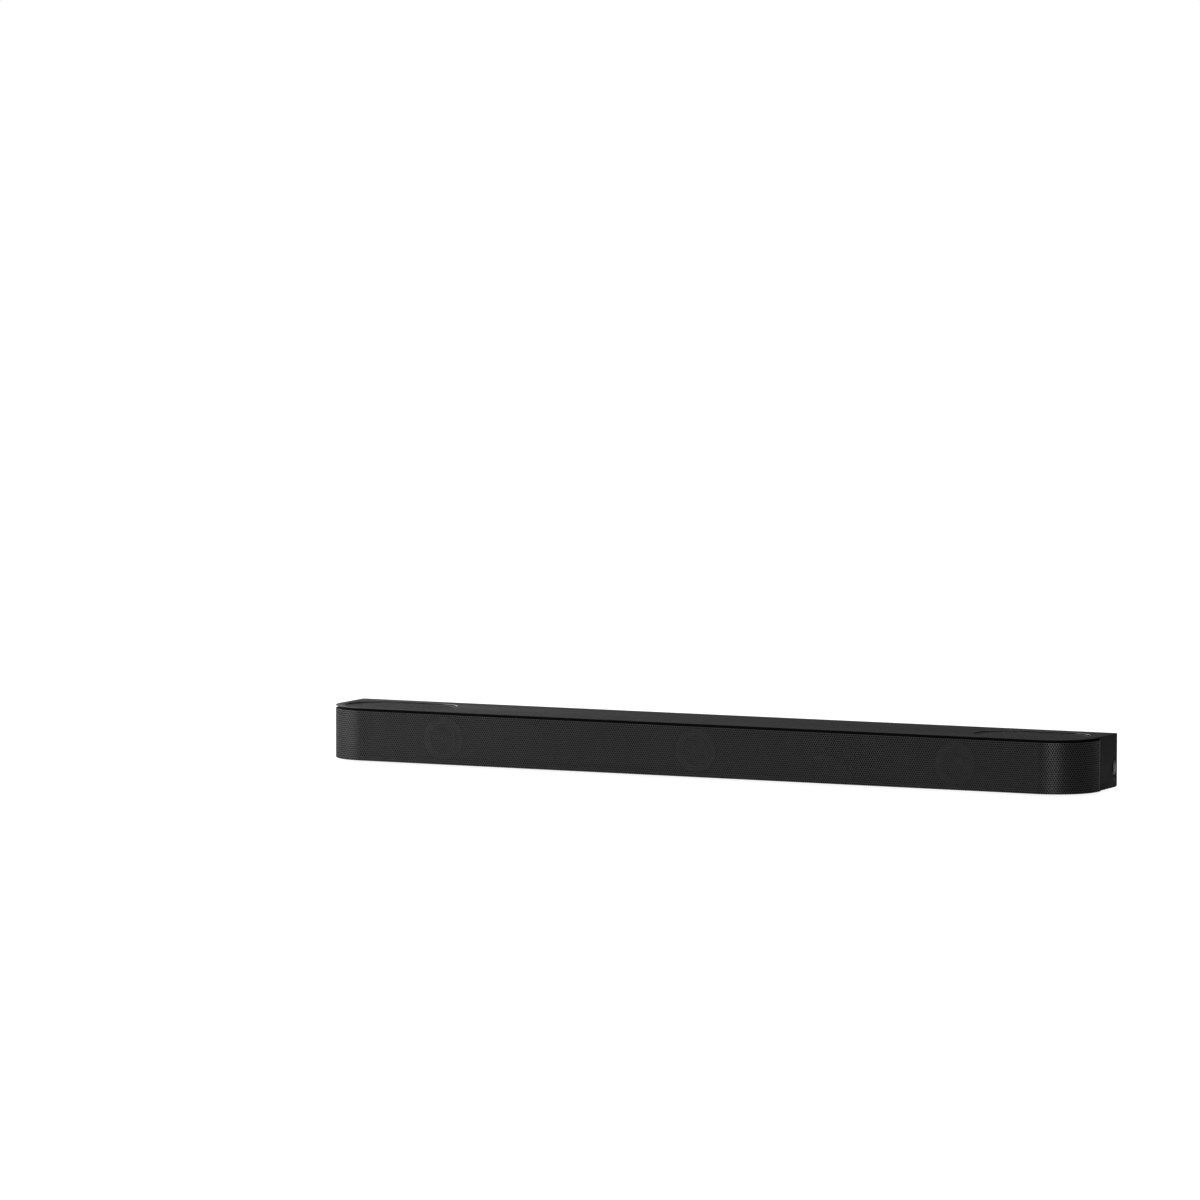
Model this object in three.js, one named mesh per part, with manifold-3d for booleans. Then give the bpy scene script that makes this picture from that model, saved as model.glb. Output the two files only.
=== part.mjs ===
// A soundbar: a long low loudspeaker with a perforated front, three forward drivers
// and two drivers that fire up through oval pods in its top panel.
// Millimetres, +Z up. X runs along the bar, -Y is its front, and the origin is under
// the middle of the bar, on the surface that its feet stand on.
import * as THREE from 'three';
import { mergeVertices } from 'three/addons/utils/BufferGeometryUtils.js';
import Module from 'manifold-3d';

const wasm = await Module();
wasm.setup();

// ---------------------------------------------------------------- driving dimensions
const barLength = 950;
const barDepth = 110;
const barHeight = 64;
const frontCornerRadius = 52;
const rearCornerRadius = 1.2;
const seamFromRear = 51; // where the grille ends and the rear housing begins
const seamGap = 1.2;
const gap = 0.3; // between pieces that touch
const runningGap = 0.7; // round the voice coil

const wall = 2.5; // moulded walls of the housing
const grilleThickness = 0.8;
const grilleBottom = 2.9;
const grooveHeight = 3.2; // shadow line between the grille and the top panel's lip
const lipThickness = 0.6; // thin edge of the top panel
const lipChamfer = 0.25;
const lipOverhang = 4; // how far the lip reaches over its neck
const topThickness = 3;

const footHeight = 2.9;
const footLength = 26;
const footWidth = 12;
const sideFootInset = 20; // in from where the large corners start
const sideFootSetback = 12; // ahead of the middle of the large corners
const centreFootInset = 24; // from the front of the bar
const rearFootInset = 22;

const podRim = 12; // top panel left round the outer end of a pod
const podStraight = 55; // straight length between a pod's round ends
const podDepth = 1.3; // how deep the pod's mesh lies
const podLedge = 3;
const podMeshThickness = 0.8;

const chassisInset = 9; // from the outside of the bar to the baffle's front
const chassisRail = 1.2;

const driverRadius = 24; // flange
const driverHoleRadius = 20.6;
const driverDepth = 30;
const coneTravel = 2.5; // each way
const outerDriverInset = 155; // from the end of the bar to the side drivers
const upfireTilt = THREE.MathUtils.degToRad(12);
const upfireDrop = 14.5; // middle of a tilted baffle, below the top of the bar
const upfireSetback = 5; // behind the middle of its pod
const bracketInset = 17; // from a pod's round end to the bracket's cheek
const coilRadius = 7.6;
const coilThickness = 0.6;
const magnetTop = -16.3; // below the baffle's face
const magnetRadius = 17.5;
const slotDepth = 10.7; // of the magnet's gap

const boardThickness = 1.6;
const mainBoardHeight = 26;
const powerBoardHeight = 14.5;

const signalBay = { x: 130, width: 136, height: 36, depth: 20, z: 32 };
const powerBay = { x: -160, width: 56, height: 30, depth: 20, z: 31 };
const bayWall = 2;

const sidePort = { fromRear: 9.6, z: 26, width: 10.6, height: 17, depth: 3.4 };
const sidePortRim = 1;
const portShell = { depth: 13, width: 5.8, height: 13.2, thickness: 0.5 };

const keyhole = { inset: 125, z: 40, headRadius: 4.8, slotRadius: 2.4, drop: 10 };
const screwRadius = 1.5;
const screwHeadRadius = 2.9;
const screwHeadHeight = 1.8;
const screwLength = 11;
const bossRadius = 3.6;
const keyholePlateThickness = 1.5;

// ---------------------------------------------------------------- derived places
const halfLength = barLength / 2;
const rear = barDepth / 2;
const front = -rear;
const seam = rear - seamFromRear;
const grilleTop = barHeight - lipThickness - grooveHeight;
const neckBottom = grilleTop - 1.6;
const baseBottom = grilleBottom + gap;
const baseTop = baseBottom + wall;
const chassisTop = neckBottom - gap;
const chassisBottom = baseTop + gap;
const topBottom = barHeight - topThickness;
const podRadius = frontCornerRadius - podRim;
const podOuterX = halfLength - frontCornerRadius;
const podY = front + frontCornerRadius;
const podX = podOuterX - podStraight / 2;
const driverZ = (chassisTop + chassisBottom) / 2;
const driverY = front + chassisInset;
const outerDriverX = halfLength - outerDriverInset;
const boardInnerX = driverRadius + 20;
const boardOuterX = outerDriverX - driverRadius - 6;
const boardFront = driverY + 18;
const cornerSteps = 8; // flats on a quarter of a large corner
const halfSteps = 12; // flats on the half circle of a pod
const smallSteps = 5;
const roundSteps = 18;

// ---------------------------------------------------------------- solids and booleans
function toSolid(geometry) {
  const bare = geometry.index ? geometry.toNonIndexed() : geometry.clone();
  bare.deleteAttribute('normal');
  bare.deleteAttribute('uv');
  const merged = mergeVertices(bare);
  return new wasm.Manifold(
    new wasm.Mesh({
      numProp: 3,
      vertProperties: merged.attributes.position.array,
      triVerts: new Uint32Array(merged.index.array),
    }),
  );
}

function toGeometry(solid) {
  const mesh = solid.getMesh();
  const geometry = new THREE.BufferGeometry();
  geometry.setAttribute('position', new THREE.BufferAttribute(mesh.vertProperties, 3));
  geometry.setIndex(new THREE.BufferAttribute(mesh.triVerts, 1));
  geometry.computeVertexNormals();
  return geometry;
}

function join(first, ...others) {
  return others.reduce((sum, solid) => sum.add(solid), first);
}

function cut(first, ...others) {
  return others.reduce((rest, solid) => rest.subtract(solid), first);
}

// A box between two corners.
function box(low, high) {
  const size = high.map((value, axis) => value - low[axis]);
  const middle = high.map((value, axis) => (value + low[axis]) / 2);
  return toSolid(new THREE.BoxGeometry(...size).translate(...middle));
}

function rodAlongZ(radius, x, y, low, high, steps = roundSteps) {
  const rod = new THREE.CylinderGeometry(radius, radius, high - low, steps);
  return toSolid(rod.rotateX(Math.PI / 2).translate(x, y, (low + high) / 2));
}

function rodAlongY(radius, x, z, low, high) {
  const rod = new THREE.CylinderGeometry(radius, radius, high - low, roundSteps);
  return toSolid(rod.translate(x, (low + high) / 2, z));
}

function extrude(shape, depth) {
  return new THREE.ExtrudeGeometry(shape, { depth, bevelEnabled: false });
}

function extrudeUp(shape, low, high) {
  return toSolid(extrude(shape, high - low).translate(0, 0, low));
}

// The shape's y becomes the object's z.
function extrudeAlongY(shape, low, high) {
  return toSolid(extrude(shape, high - low).rotateX(Math.PI / 2).translate(0, high, 0));
}

// The shape's x and y become the object's y and z.
function extrudeAlongX(shape, low, high) {
  const turn = new THREE.Matrix4().makeBasis(
    new THREE.Vector3(0, 1, 0),
    new THREE.Vector3(0, 0, 1),
    new THREE.Vector3(1, 0, 0),
  );
  return toSolid(extrude(shape, high - low).applyMatrix4(turn).translate(low, 0, 0));
}

// A profile of [radius, height] pairs turned round the Z axis.
function revolve(profile, steps = roundSteps) {
  const points = profile.map(([radius, height]) => new THREE.Vector2(radius, height));
  return toSolid(new THREE.LatheGeometry(points, steps).rotateX(Math.PI / 2));
}

// ---------------------------------------------------------------- outlines
// Points on an arc, turning anticlockwise from one angle (in quarter turns) to another.
function arc(x, y, radius, from, to, steps) {
  const points = [];
  for (let step = 0; step <= steps; step += 1) {
    const angle = (from + ((to - from) * step) / steps) * (Math.PI / 2);
    points.push(new THREE.Vector2(x + radius * Math.cos(angle), y + radius * Math.sin(angle)));
  }
  return points;
}

// The bar from above: large round corners in front, small ones behind.
function planShape(inset) {
  const side = halfLength - inset;
  const near = front + inset;
  const far = rear - inset;
  const large = frontCornerRadius - inset;
  const small = Math.max(rearCornerRadius - inset, gap);
  return new THREE.Shape([
    ...arc(-side + small, far - small, small, 1, 2, 2),
    ...arc(-side + large, near + large, large, 2, 3, cornerSteps),
    ...arc(side - large, near + large, large, 3, 4, cornerSteps),
    ...arc(side - small, far - small, small, 0, 1, 2),
  ]);
}

// Two half circles joined by straight lines, lying or (where it is taller) standing.
function pillShape(x, y, width, height, steps = smallSteps) {
  const radius = Math.min(width, height) / 2;
  const reachX = width / 2 - radius;
  const reachY = height / 2 - radius;
  const start = reachX > reachY ? -1 : 0;
  return new THREE.Shape([
    ...arc(x + reachX, y + reachY, radius, start, start + 2, steps),
    ...arc(x - reachX, y - reachY, radius, start + 2, start + 4, steps),
  ]);
}

function podShape(side, inset) {
  const width = podStraight + 2 * (podRadius - inset);
  return pillShape(side * podX, podY, width, 2 * (podRadius - inset), halfSteps);
}

// A round hole for a screw's head that narrows to an upright slot above it.
function keyholeShape(x, extra) {
  const { z, headRadius, slotRadius, drop } = keyhole;
  const wide = headRadius + extra;
  const narrow = slotRadius + extra;
  const turn = Math.asin(narrow / wide) / (Math.PI / 2);
  return new THREE.Shape([
    ...arc(x, z, narrow, 0, 2, smallSteps),
    ...arc(x, z - drop, wide, 1 + turn, 5 - turn, 2 * smallSteps),
  ]);
}

// A wall that follows the plan outline between two insets.
function planBand(outer, inner, low, high) {
  return cut(extrudeUp(planShape(outer), low, high), extrudeUp(planShape(inner), low - 1, high + 1));
}

function frontBand(outer, inner, low, high) {
  const behind = box([-barLength, seam, low - 2], [barLength, barDepth, high + 2]);
  return cut(planBand(outer, inner, low, high), behind);
}

function rearBand(outer, inner, low, high) {
  const ahead = box([-barLength, -barDepth, low - 2], [barLength, seam + seamGap, high + 2]);
  return cut(planBand(outer, inner, low, high), ahead);
}

// ---------------------------------------------------------------- casing
function makeTopPanel() {
  const lip = new THREE.ExtrudeGeometry(planShape(lipChamfer), {
    depth: lipThickness - 2 * lipChamfer,
    bevelThickness: lipChamfer,
    bevelSize: lipChamfer,
    bevelSegments: 1,
  });
  const lipSolid = toSolid(lip.translate(0, 0, barHeight - lipThickness + lipChamfer));
  const slab = extrudeUp(planShape(lipOverhang), topBottom, barHeight - lipThickness / 2);
  const neck = frontBand(lipOverhang, lipOverhang + 2, neckBottom, topBottom + 1);
  const ledge = barHeight - podDepth - podMeshThickness - gap;
  const openings = [-1, 1].flatMap((side) => [
    extrudeUp(podShape(side, 0), ledge, barHeight + 1),
    extrudeUp(podShape(side, podLedge), topBottom - 1, ledge + 1),
  ]);
  return cut(join(lipSolid, slab, neck), ...openings);
}

function makePodMesh(side) {
  const high = barHeight - podDepth;
  return extrudeUp(podShape(side, gap), high - podMeshThickness, high);
}

function makeFrontGrille() {
  return frontBand(0, grilleThickness, grilleBottom, grilleTop);
}

function makeFrontChassis() {
  const inner = chassisInset + wall;
  const rail = grilleThickness + gap;
  const hole = (x) => rodAlongY(driverHoleRadius, x, driverZ, front, 0);
  const bosses = screwPlaces.filter(({ y }) => y < 0).map(makeBoss);
  const solid = join(
    frontBand(chassisInset, inner, chassisBottom, chassisTop),
    frontBand(rail, inner, chassisBottom, chassisBottom + chassisRail),
    frontBand(rail, inner, chassisTop - chassisRail, chassisTop),
    ...bosses,
  );
  const holes = screwPlaces.filter(({ y }) => y < 0).map(makeBossHole);
  return cut(solid, hole(-outerDriverX), hole(0), hole(outerDriverX), ...holes);
}

// Screws through the base plate: two into the chassis, four into the rear housing.
const frontScrewY = driverY + wall + bossRadius - 0.6;
const rearScrewY = rear - wall - bossRadius + 0.6;
const rearScrewX = [halfLength - 45, outerDriverX - 80];
const screwPlaces = [
  { name: 'base_screw_front_left', x: -outerDriverX / 2, y: frontScrewY },
  { name: 'base_screw_front_right', x: outerDriverX / 2, y: frontScrewY },
  { name: 'base_screw_rear_far_left', x: -rearScrewX[0], y: rearScrewY },
  { name: 'base_screw_rear_left', x: -rearScrewX[1], y: rearScrewY },
  { name: 'base_screw_rear_right', x: rearScrewX[1], y: rearScrewY },
  { name: 'base_screw_rear_far_right', x: rearScrewX[0], y: rearScrewY },
];

function makeBoss({ x, y }) {
  const high = chassisBottom + screwLength + 2;
  return rodAlongZ(bossRadius, x, y, chassisBottom, high, 12);
}

function makeBossHole({ x, y }) {
  return rodAlongZ(screwRadius + gap, x, y, 0, chassisBottom + screwLength, 10);
}

// Screw head down, origin at the middle of the head's outer face.
function makeScrew() {
  const tip = screwHeadHeight + screwLength - 3;
  const profile = [
    [0, 0],
    [screwHeadRadius, 0],
    [screwHeadRadius, screwHeadHeight],
    [screwRadius, screwHeadHeight],
    [screwRadius, tip],
    [0, tip],
  ];
  return revolve(profile, 10);
}

function bayOpening(bay, grow, low, high) {
  const halfWidth = bay.width / 2 + grow;
  const halfHeight = bay.height / 2 + grow;
  const corner = [bay.x - halfWidth, low, bay.z - halfHeight];
  return box(corner, [bay.x + halfWidth, high, bay.z + halfHeight]);
}

function sidePortShape(grow) {
  const { fromRear, z, width, height } = sidePort;
  return pillShape(rear - fromRear, z, width + 2 * grow, height + 2 * grow);
}

function makeRearHousing() {
  const bottom = baseBottom + 1;
  const rearPlaces = screwPlaces.filter(({ y }) => y > 0);
  const shell = join(
    rearBand(0, wall, bottom, barHeight - lipThickness - gap),
    ...rearPlaces.map(makeBoss),
  );
  const keyholes = [-1, 1].map((side) =>
    extrudeAlongY(keyholeShape(side * (halfLength - keyhole.inset), 0), rear - 6, rear + 1),
  );
  return cut(
    shell,
    bayOpening(signalBay, 0, rear - wall - 1, rear + 1),
    bayOpening(powerBay, 0, rear - wall - 1, rear + 1),
    extrudeAlongX(sidePortShape(sidePortRim + gap), halfLength - 6, halfLength + 1),
    ...keyholes,
    ...rearPlaces.map(makeBossHole),
  );
}

// Posts under the corners of a circuit board.
function boardPosts(board) {
  const xs = [board.low[0] + 6, board.high[0] - 6];
  const ys = [board.low[1] + 6, board.high[1] - 6];
  return xs.flatMap((x) => ys.map((y) => rodAlongZ(3, x, y, baseTop - 1, board.low[2] - gap, 8)));
}

function makeBasePlate() {
  const plate = extrudeUp(planShape(wall + gap), baseBottom, baseTop);
  const posts = [mainBoard, powerBoard].flatMap(boardPosts);
  const holes = screwPlaces.flatMap(({ x, y }) => [
    rodAlongZ(screwRadius + gap, x, y, 0, baseTop + 1, 10),
    rodAlongZ(screwHeadRadius + gap, x, y, 0, baseBottom + screwHeadHeight - 0.4, 10),
  ]);
  return cut(join(plate, ...posts), ...holes);
}

function makeFoot() {
  const foot = new THREE.ExtrudeGeometry(pillShape(0, 0, footLength - 1, footWidth - 1), {
    depth: footHeight - 1,
    bevelThickness: 0.5,
    bevelSize: 0.5,
    bevelSegments: 1,
  });
  return toSolid(foot.translate(0, 0, 0.5));
}

// ---------------------------------------------------------------- rear connector bays
function makeBay(bay, windows) {
  const back = rear - wall - gap;
  const floor = rear - bay.depth;
  const tray = cut(
    bayOpening(bay, bayWall, floor - bayWall, back),
    bayOpening(bay, 0, floor, back + 1),
  );
  return cut(tray, ...windows);
}

// A metal-shelled socket that faces the rear: an open box with a tongue inside.
function makeSocket({ x, low, width, height, tongue }, depth, mouth) {
  const outer = box([x - width / 2, mouth - depth, low], [x + width / 2, mouth, low + height]);
  const hollow = box(
    [x - width / 2 + 0.6, mouth - depth + 2, low + 0.6],
    [x + width / 2 - 0.6, mouth + 1, low + height - 0.6],
  );
  const middle = low + height / 2;
  const bar = box(
    [x - tongue / 2, mouth - depth + 1, middle - 0.6],
    [x + tongue / 2, mouth - 4.6, middle + 0.6],
  );
  return join(cut(outer, hollow), bar);
}

function socketWindow({ x, low, width, height }, bay) {
  const floor = rear - bay.depth;
  return box(
    [x - width / 2 - gap, floor - bayWall - 1, low - gap],
    [x + width / 2 + gap, floor + 1, low + height + gap],
  );
}

const socketLow = mainBoardHeight + boardThickness + gap;
const videoOut = { x: signalBay.x - 42, low: socketLow, width: 15.2, height: 6.2, tongue: 11 };
const videoIn = { x: signalBay.x - 10, low: socketLow, width: 15.2, height: 6.2, tongue: 11 };
const optical = { x: signalBay.x + 30, low: socketLow, width: 13, height: 13 };
const inlet = { x: powerBay.x, low: powerBoardHeight + boardThickness + gap, width: 24, height: 26 };

// Square fibre socket: a round bore behind a square mouth.
function makeOpticalPort() {
  const mouth = rear - signalBay.depth + 2;
  const { x, low, width, height } = optical;
  const middle = low + height / 2;
  const body = box([x - width / 2, mouth - 15, low], [x + width / 2, mouth, low + height]);
  const square = box([x - 4.2, mouth - 9.6, middle - 4.2], [x + 4.2, mouth + 1, middle + 4.2]);
  return cut(body, square, rodAlongY(3.1, x, middle, mouth - 13, mouth));
}

// Sprung door across the fibre socket's mouth, hinged along its top edge.
function makeOpticalShutter() {
  const mouth = rear - signalBay.depth + 2;
  const middle = optical.low + optical.height / 2;
  const high = middle + 4.2 - gap;
  return box(
    [optical.x - 3.9, mouth - 1.3, middle - 3.9],
    [optical.x + 3.9, mouth - 0.5, high],
  );
}

// Mains inlet: a figure-of-eight hollow with two round pins.
function makeInlet() {
  const mouth = rear - powerBay.depth + 2;
  const { x, low, width, height } = inlet;
  const middle = low + height / 2;
  const body = box([x - width / 2, mouth - 20, low], [x + width / 2, mouth, low + height]);
  const hollow = join(
    rodAlongY(4.3, x - 4.3, middle, mouth - 14, mouth + 1),
    rodAlongY(4.3, x + 4.3, middle, mouth - 14, mouth + 1),
    box([x - 4.3, mouth - 14, middle - 3.4], [x + 4.3, mouth + 1, middle + 3.4]),
  );
  const pins = [-4.3, 4.3].map((offset) =>
    rodAlongY(1.2, x + offset, middle, mouth - 15, mouth - 3),
  );
  return join(cut(body, hollow), ...pins);
}

// ---------------------------------------------------------------- side port
function portSolid(grow, low, high) {
  const y = rear - sidePort.fromRear;
  const halfWidth = portShell.width / 2 + grow;
  const halfHeight = portShell.height / 2 + grow;
  return box(
    [low, y - halfWidth, sidePort.z - halfHeight],
    [high, y + halfWidth, sidePort.z + halfHeight],
  );
}

// Oval cup round the port, flush with the side of the housing.
function makePortBezel() {
  const floor = halfLength - sidePort.depth;
  return cut(
    extrudeAlongX(sidePortShape(sidePortRim), floor - 1.2, halfLength),
    extrudeAlongX(sidePortShape(0), floor, halfLength + 1),
    portSolid(gap, floor - 3, floor + 1),
  );
}

function makeSidePort() {
  const mouth = halfLength - sidePort.depth;
  const y = rear - sidePort.fromRear;
  const shell = cut(
    portSolid(0, mouth - portShell.depth, mouth),
    portSolid(-portShell.thickness, mouth - portShell.depth + 2, mouth + 1),
  );
  const tongue = box(
    [mouth - portShell.depth + 1, y + 0.2, sidePort.z - 5.2],
    [mouth - 1.5, y + 1.6, sidePort.z + 5.2],
  );
  return join(shell, tongue);
}

// ---------------------------------------------------------------- drivers
// Each is built on its own axis: +Z is out of the cone, z = 0 is the baffle's face.
const seatRadius = driverHoleRadius - 2; // inside of the basket, round the surround
const coilInner = coilRadius - coilThickness / 2;
const coilOuter = coilRadius + coilThickness / 2;
const slotBottom = magnetTop - slotDepth;

function makeBasket() {
  const ring = revolve([
    [driverRadius, gap],
    [driverRadius, 1.8],
    [seatRadius, 1.8],
    [seatRadius, -4],
    [12.3, -14.6],
    [coilRadius + 2.6, -14.6],
    [coilRadius + 2.6, magnetTop + gap],
    [13.8, magnetTop + gap],
    [driverHoleRadius - gap, -4.4],
    [driverHoleRadius - gap, gap],
    [driverRadius, gap],
  ]);
  const window = box([-5.5, -driverRadius, -13.4], [5.5, driverRadius, -5]);
  const turned = [30, 90, 150].map((angle) => window.rotate([0, 0, angle]));
  return cut(ring, ...turned);
}

function makeMagnet() {
  const slotOuter = coilOuter + runningGap;
  const slotInner = coilInner - runningGap;
  return revolve([
    [0, -driverDepth],
    [magnetRadius, -driverDepth],
    [magnetRadius, magnetTop - 1],
    [magnetRadius - 1, magnetTop],
    [slotOuter, magnetTop],
    [slotOuter, slotBottom],
    [slotInner, slotBottom],
    [slotInner, magnetTop],
    [0, magnetTop],
  ]);
}

// Rubber surround, cone, dust cap, former and coil, which move as one.
function makeCone() {
  const edge = seatRadius - 0.3;
  return revolve([
    [0, -5.3],
    [3.4, -5.9],
    [coilInner, -8.4],
    [coilInner, slotBottom + coneTravel + 1.2],
    [coilOuter, slotBottom + coneTravel + 1.2],
    [coilOuter, -8.6],
    [edge - 3.2, -1.2],
    [edge - 2.8, 0.4],
    [edge - 1.8, 1],
    [edge - 1.2, 0.6],
    [edge - 0.8, -0.4],
    [edge, -0.4],
    [edge, 0.4],
    [edge - 0.4, 1.2],
    [edge - 1.8, 1.9],
    [edge - 3.2, 1.2],
    [edge - 4, -0.6],
    [coilRadius - 0.4, -7.4],
    [3.6, -5],
    [0, -4.4],
  ]);
}

function upfireMiddle(side) {
  return [side * podX, podY + upfireSetback, barHeight - upfireDrop];
}

// Tilted shelf under a pod, on two cheeks that stand on the base plate.
function makeUpfireBracket(side) {
  const halfWidth = podStraight / 2 + podRadius - bracketInset;
  const middle = upfireMiddle(side);
  const tilt = THREE.MathUtils.radToDeg(upfireTilt);
  const place = (solid) => solid.rotate([tilt, 0, 0]).translate(middle);
  const shelf = place(box([-halfWidth, -30, -wall], [halfWidth, 30, 0]));
  const above = place(box([-halfWidth - 9, -60, -0.5], [halfWidth + 9, 60, 60]));
  const hole = place(rodAlongZ(driverHoleRadius, 0, 0, -wall - 5, 5));
  const cheeks = [-1, 1].map((end) => {
    const outer = middle[0] + end * halfWidth;
    const inner = outer - end * wall;
    return box(
      [Math.min(outer, inner), middle[1] - 26, chassisBottom],
      [Math.max(outer, inner), middle[1] + 26, barHeight],
    );
  });
  return cut(join(shelf, ...cheeks.map((cheek) => cut(cheek, above))), hole);
}

// ---------------------------------------------------------------- electronics
const mainBoard = {
  low: [boardInnerX, boardFront, mainBoardHeight],
  high: [boardOuterX, rear - signalBay.depth - bayWall - 2, mainBoardHeight + boardThickness],
};
const powerBoard = {
  low: [-boardOuterX, boardFront, powerBoardHeight],
  high: [-boardInnerX, rear - powerBay.depth - bayWall - 2, powerBoardHeight + boardThickness],
};

// Parts that stand on a board: [along, across, width, depth, height].
function boardWithParts({ low, high }, parts) {
  const top = high[2];
  const blocks = parts.map(([along, across, width, depth, height]) => {
    const x = low[0] + along;
    const y = low[1] + across;
    return box([x, y, top - 0.5], [x + width, y + depth, top + height]);
  });
  return join(box(low, high), ...blocks);
}

function makeMainBoard() {
  return boardWithParts(mainBoard, [
    [14, 14, 22, 22, 2.4],
    [48, 16, 12, 10, 1.6],
    [70, 12, 9, 24, 6],
    [96, 30, 8, 8, 9],
    [110, 30, 8, 8, 9],
  ]);
}

function makePowerBoard() {
  const { low, high } = powerBoard;
  const can = rodAlongZ(9, low[0] + 30, low[1] + 20, high[2] - 0.5, high[2] + 24, 16);
  const small = rodAlongZ(5, low[0] + 58, low[1] + 12, high[2] - 0.5, high[2] + 18, 12);
  const board = boardWithParts(powerBoard, [
    [76, 8, 32, 28, 22],
    [122, 10, 16, 20, 16],
    [150, 12, 10, 24, 14],
  ]);
  return join(board, can, small);
}

function makeHeatSink() {
  const { high } = mainBoard;
  const width = 48;
  const depth = 44;
  const corner = [high[0] - width - 8, boardFront + 4, high[2] + gap];
  const far = [corner[0] + width, corner[1] + depth, corner[2] + 18];
  const channel = (index) => {
    const x = corner[0] + 2 + index * 6.6;
    return box([x, corner[1] - 1, corner[2] + 4], [x + 4.6, far[1] + 1, far[2] + 1]);
  };
  return cut(box(corner, far), ...[0, 1, 2, 3, 4, 5, 6].map(channel));
}

// Flat card with a screening can on it.
function makeCard(low, size, can) {
  const high = low.map((value, axis) => value + size[axis]);
  const canLow = [low[0] + can.margin, low[1] + can.margin, high[2] - 0.3];
  const canHigh = [high[0] - can.margin, high[1] - can.margin, high[2] + can.height];
  return join(box(low, high), box(canLow, canHigh));
}

function makeIndicatorBoard() {
  const y = driverY - gap;
  const x = outerDriverX / 2;
  const card = box([x - 16, y - 1.2, driverZ - 4], [x + 16, y, driverZ + 4]);
  const lamps = [-8, 0, 8].map((offset) =>
    box([x + offset - 1, y - 2, driverZ - 1], [x + offset + 1, y - 1, driverZ + 1]),
  );
  return join(card, ...lamps);
}

function makeIndicatorLens() {
  const y = driverY - gap - 2 - gap;
  const x = outerDriverX / 2;
  return extrudeAlongY(pillShape(x, driverZ, 24, 4), y - 3, y);
}

// A round cable through a list of points.
function makeCable(points, radius) {
  const path = new THREE.CatmullRomCurve3(
    points.map((point) => new THREE.Vector3(...point)),
    false,
    'centripetal',
  );
  const section = new THREE.Shape(arc(0, 0, radius, 0, 4, 8).slice(1));
  return toSolid(new THREE.ExtrudeGeometry(section, { steps: 16, extrudePath: path }));
}

function speakerCable(side) {
  const low = chassisBottom + 3.4;
  const y = boardFront - 5;
  const behindDriver = driverY + driverDepth + 5;
  return makeCable(
    [
      [side * (boardInnerX - 6), y, low],
      [side * (boardInnerX + 20), y, low],
      [side * (boardOuterX - 30), y, low],
      [side * (boardOuterX + 6), y + 3, low],
      [side * (boardOuterX + 12), behindDriver - 8, low + 2],
      [side * (outerDriverX - 8), behindDriver, low + 6],
      [side * outerDriverX, behindDriver, driverZ - 6],
    ],
    1.5,
  );
}

function sidePortCable() {
  const y = rear - sidePort.fromRear;
  const start = halfLength - sidePort.depth - portShell.depth - gap;
  return makeCable(
    [
      [start, y, sidePort.z],
      [start - 20, y, sidePort.z],
      [start - 60, y - 3, sidePort.z - 6],
      [outerDriverX + 20, y - 3, sidePort.z - 8],
      [boardOuterX + 6, y - 6, sidePort.z - 4],
    ],
    1.4,
  );
}

// ---------------------------------------------------------------- finishes
const finishes = {
  housing: { color: 0x26272a, roughness: 0.55, metalness: 0 },
  top: { color: 0x2b2c2f, roughness: 0.42, metalness: 0 },
  grille: { color: 0x2a2a2c, roughness: 0.5, metalness: 0.4 },
  podMesh: { color: 0x303134, roughness: 0.6, metalness: 0.2 },
  chassis: { color: 0x141415, roughness: 0.7, metalness: 0 },
  basket: { color: 0x1a1a1b, roughness: 0.5, metalness: 0.6 },
  magnet: { color: 0x3a3b3d, roughness: 0.5, metalness: 0.6 },
  cone: { color: 0x1e1e1f, roughness: 0.8, metalness: 0 },
  board: { color: 0x1f4a2c, roughness: 0.5, metalness: 0 },
  aluminium: { color: 0xb4b6b8, roughness: 0.35, metalness: 0.9 },
  connectorMetal: { color: 0xa0a2a4, roughness: 0.3, metalness: 1 },
  connectorPlastic: { color: 0x101011, roughness: 0.4, metalness: 0 },
  lens: { color: 0x202226, roughness: 0.15, metalness: 0 },
  rubber: { color: 0x0f0f10, roughness: 0.9, metalness: 0 },
  steel: { color: 0x8c8e90, roughness: 0.35, metalness: 0.9 },
  blackScrew: { color: 0x222325, roughness: 0.4, metalness: 0.8 },
  cable: { color: 0x161617, roughness: 0.6, metalness: 0 },
};

function makeMesh(name, solid, finish) {
  const mesh = new THREE.Mesh(
    toGeometry(solid),
    new THREE.MeshStandardMaterial(finishes[finish]),
  );
  mesh.name = name;
  return mesh;
}

// ---------------------------------------------------------------- assembly
const group = new THREE.Group();

function add(name, solid, finish, place = [0, 0, 0]) {
  const mesh = makeMesh(name, solid, finish);
  mesh.position.set(...place);
  group.add(mesh);
}

function addDriver(prefix, place, tilt) {
  const driver = new THREE.Group();
  driver.add(
    makeMesh(`${prefix}_basket`, makeBasket(), 'basket'),
    makeMesh(`${prefix}_magnet`, makeMagnet(), 'magnet'),
    makeMesh(`${prefix}_cone`, makeCone(), 'cone'),
  );
  driver.position.set(...place);
  driver.rotation.x = tilt;
  group.add(driver);
}

function addCasing() {
  add('top_panel', makeTopPanel(), 'top');
  add('front_grille', makeFrontGrille(), 'grille');
  add('front_chassis', makeFrontChassis(), 'chassis');
  add('rear_housing', makeRearHousing(), 'housing');
  add('base_plate', makeBasePlate(), 'housing');
  add('pod_mesh_left', makePodMesh(-1), 'podMesh');
  add('pod_mesh_right', makePodMesh(1), 'podMesh');
}

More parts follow.
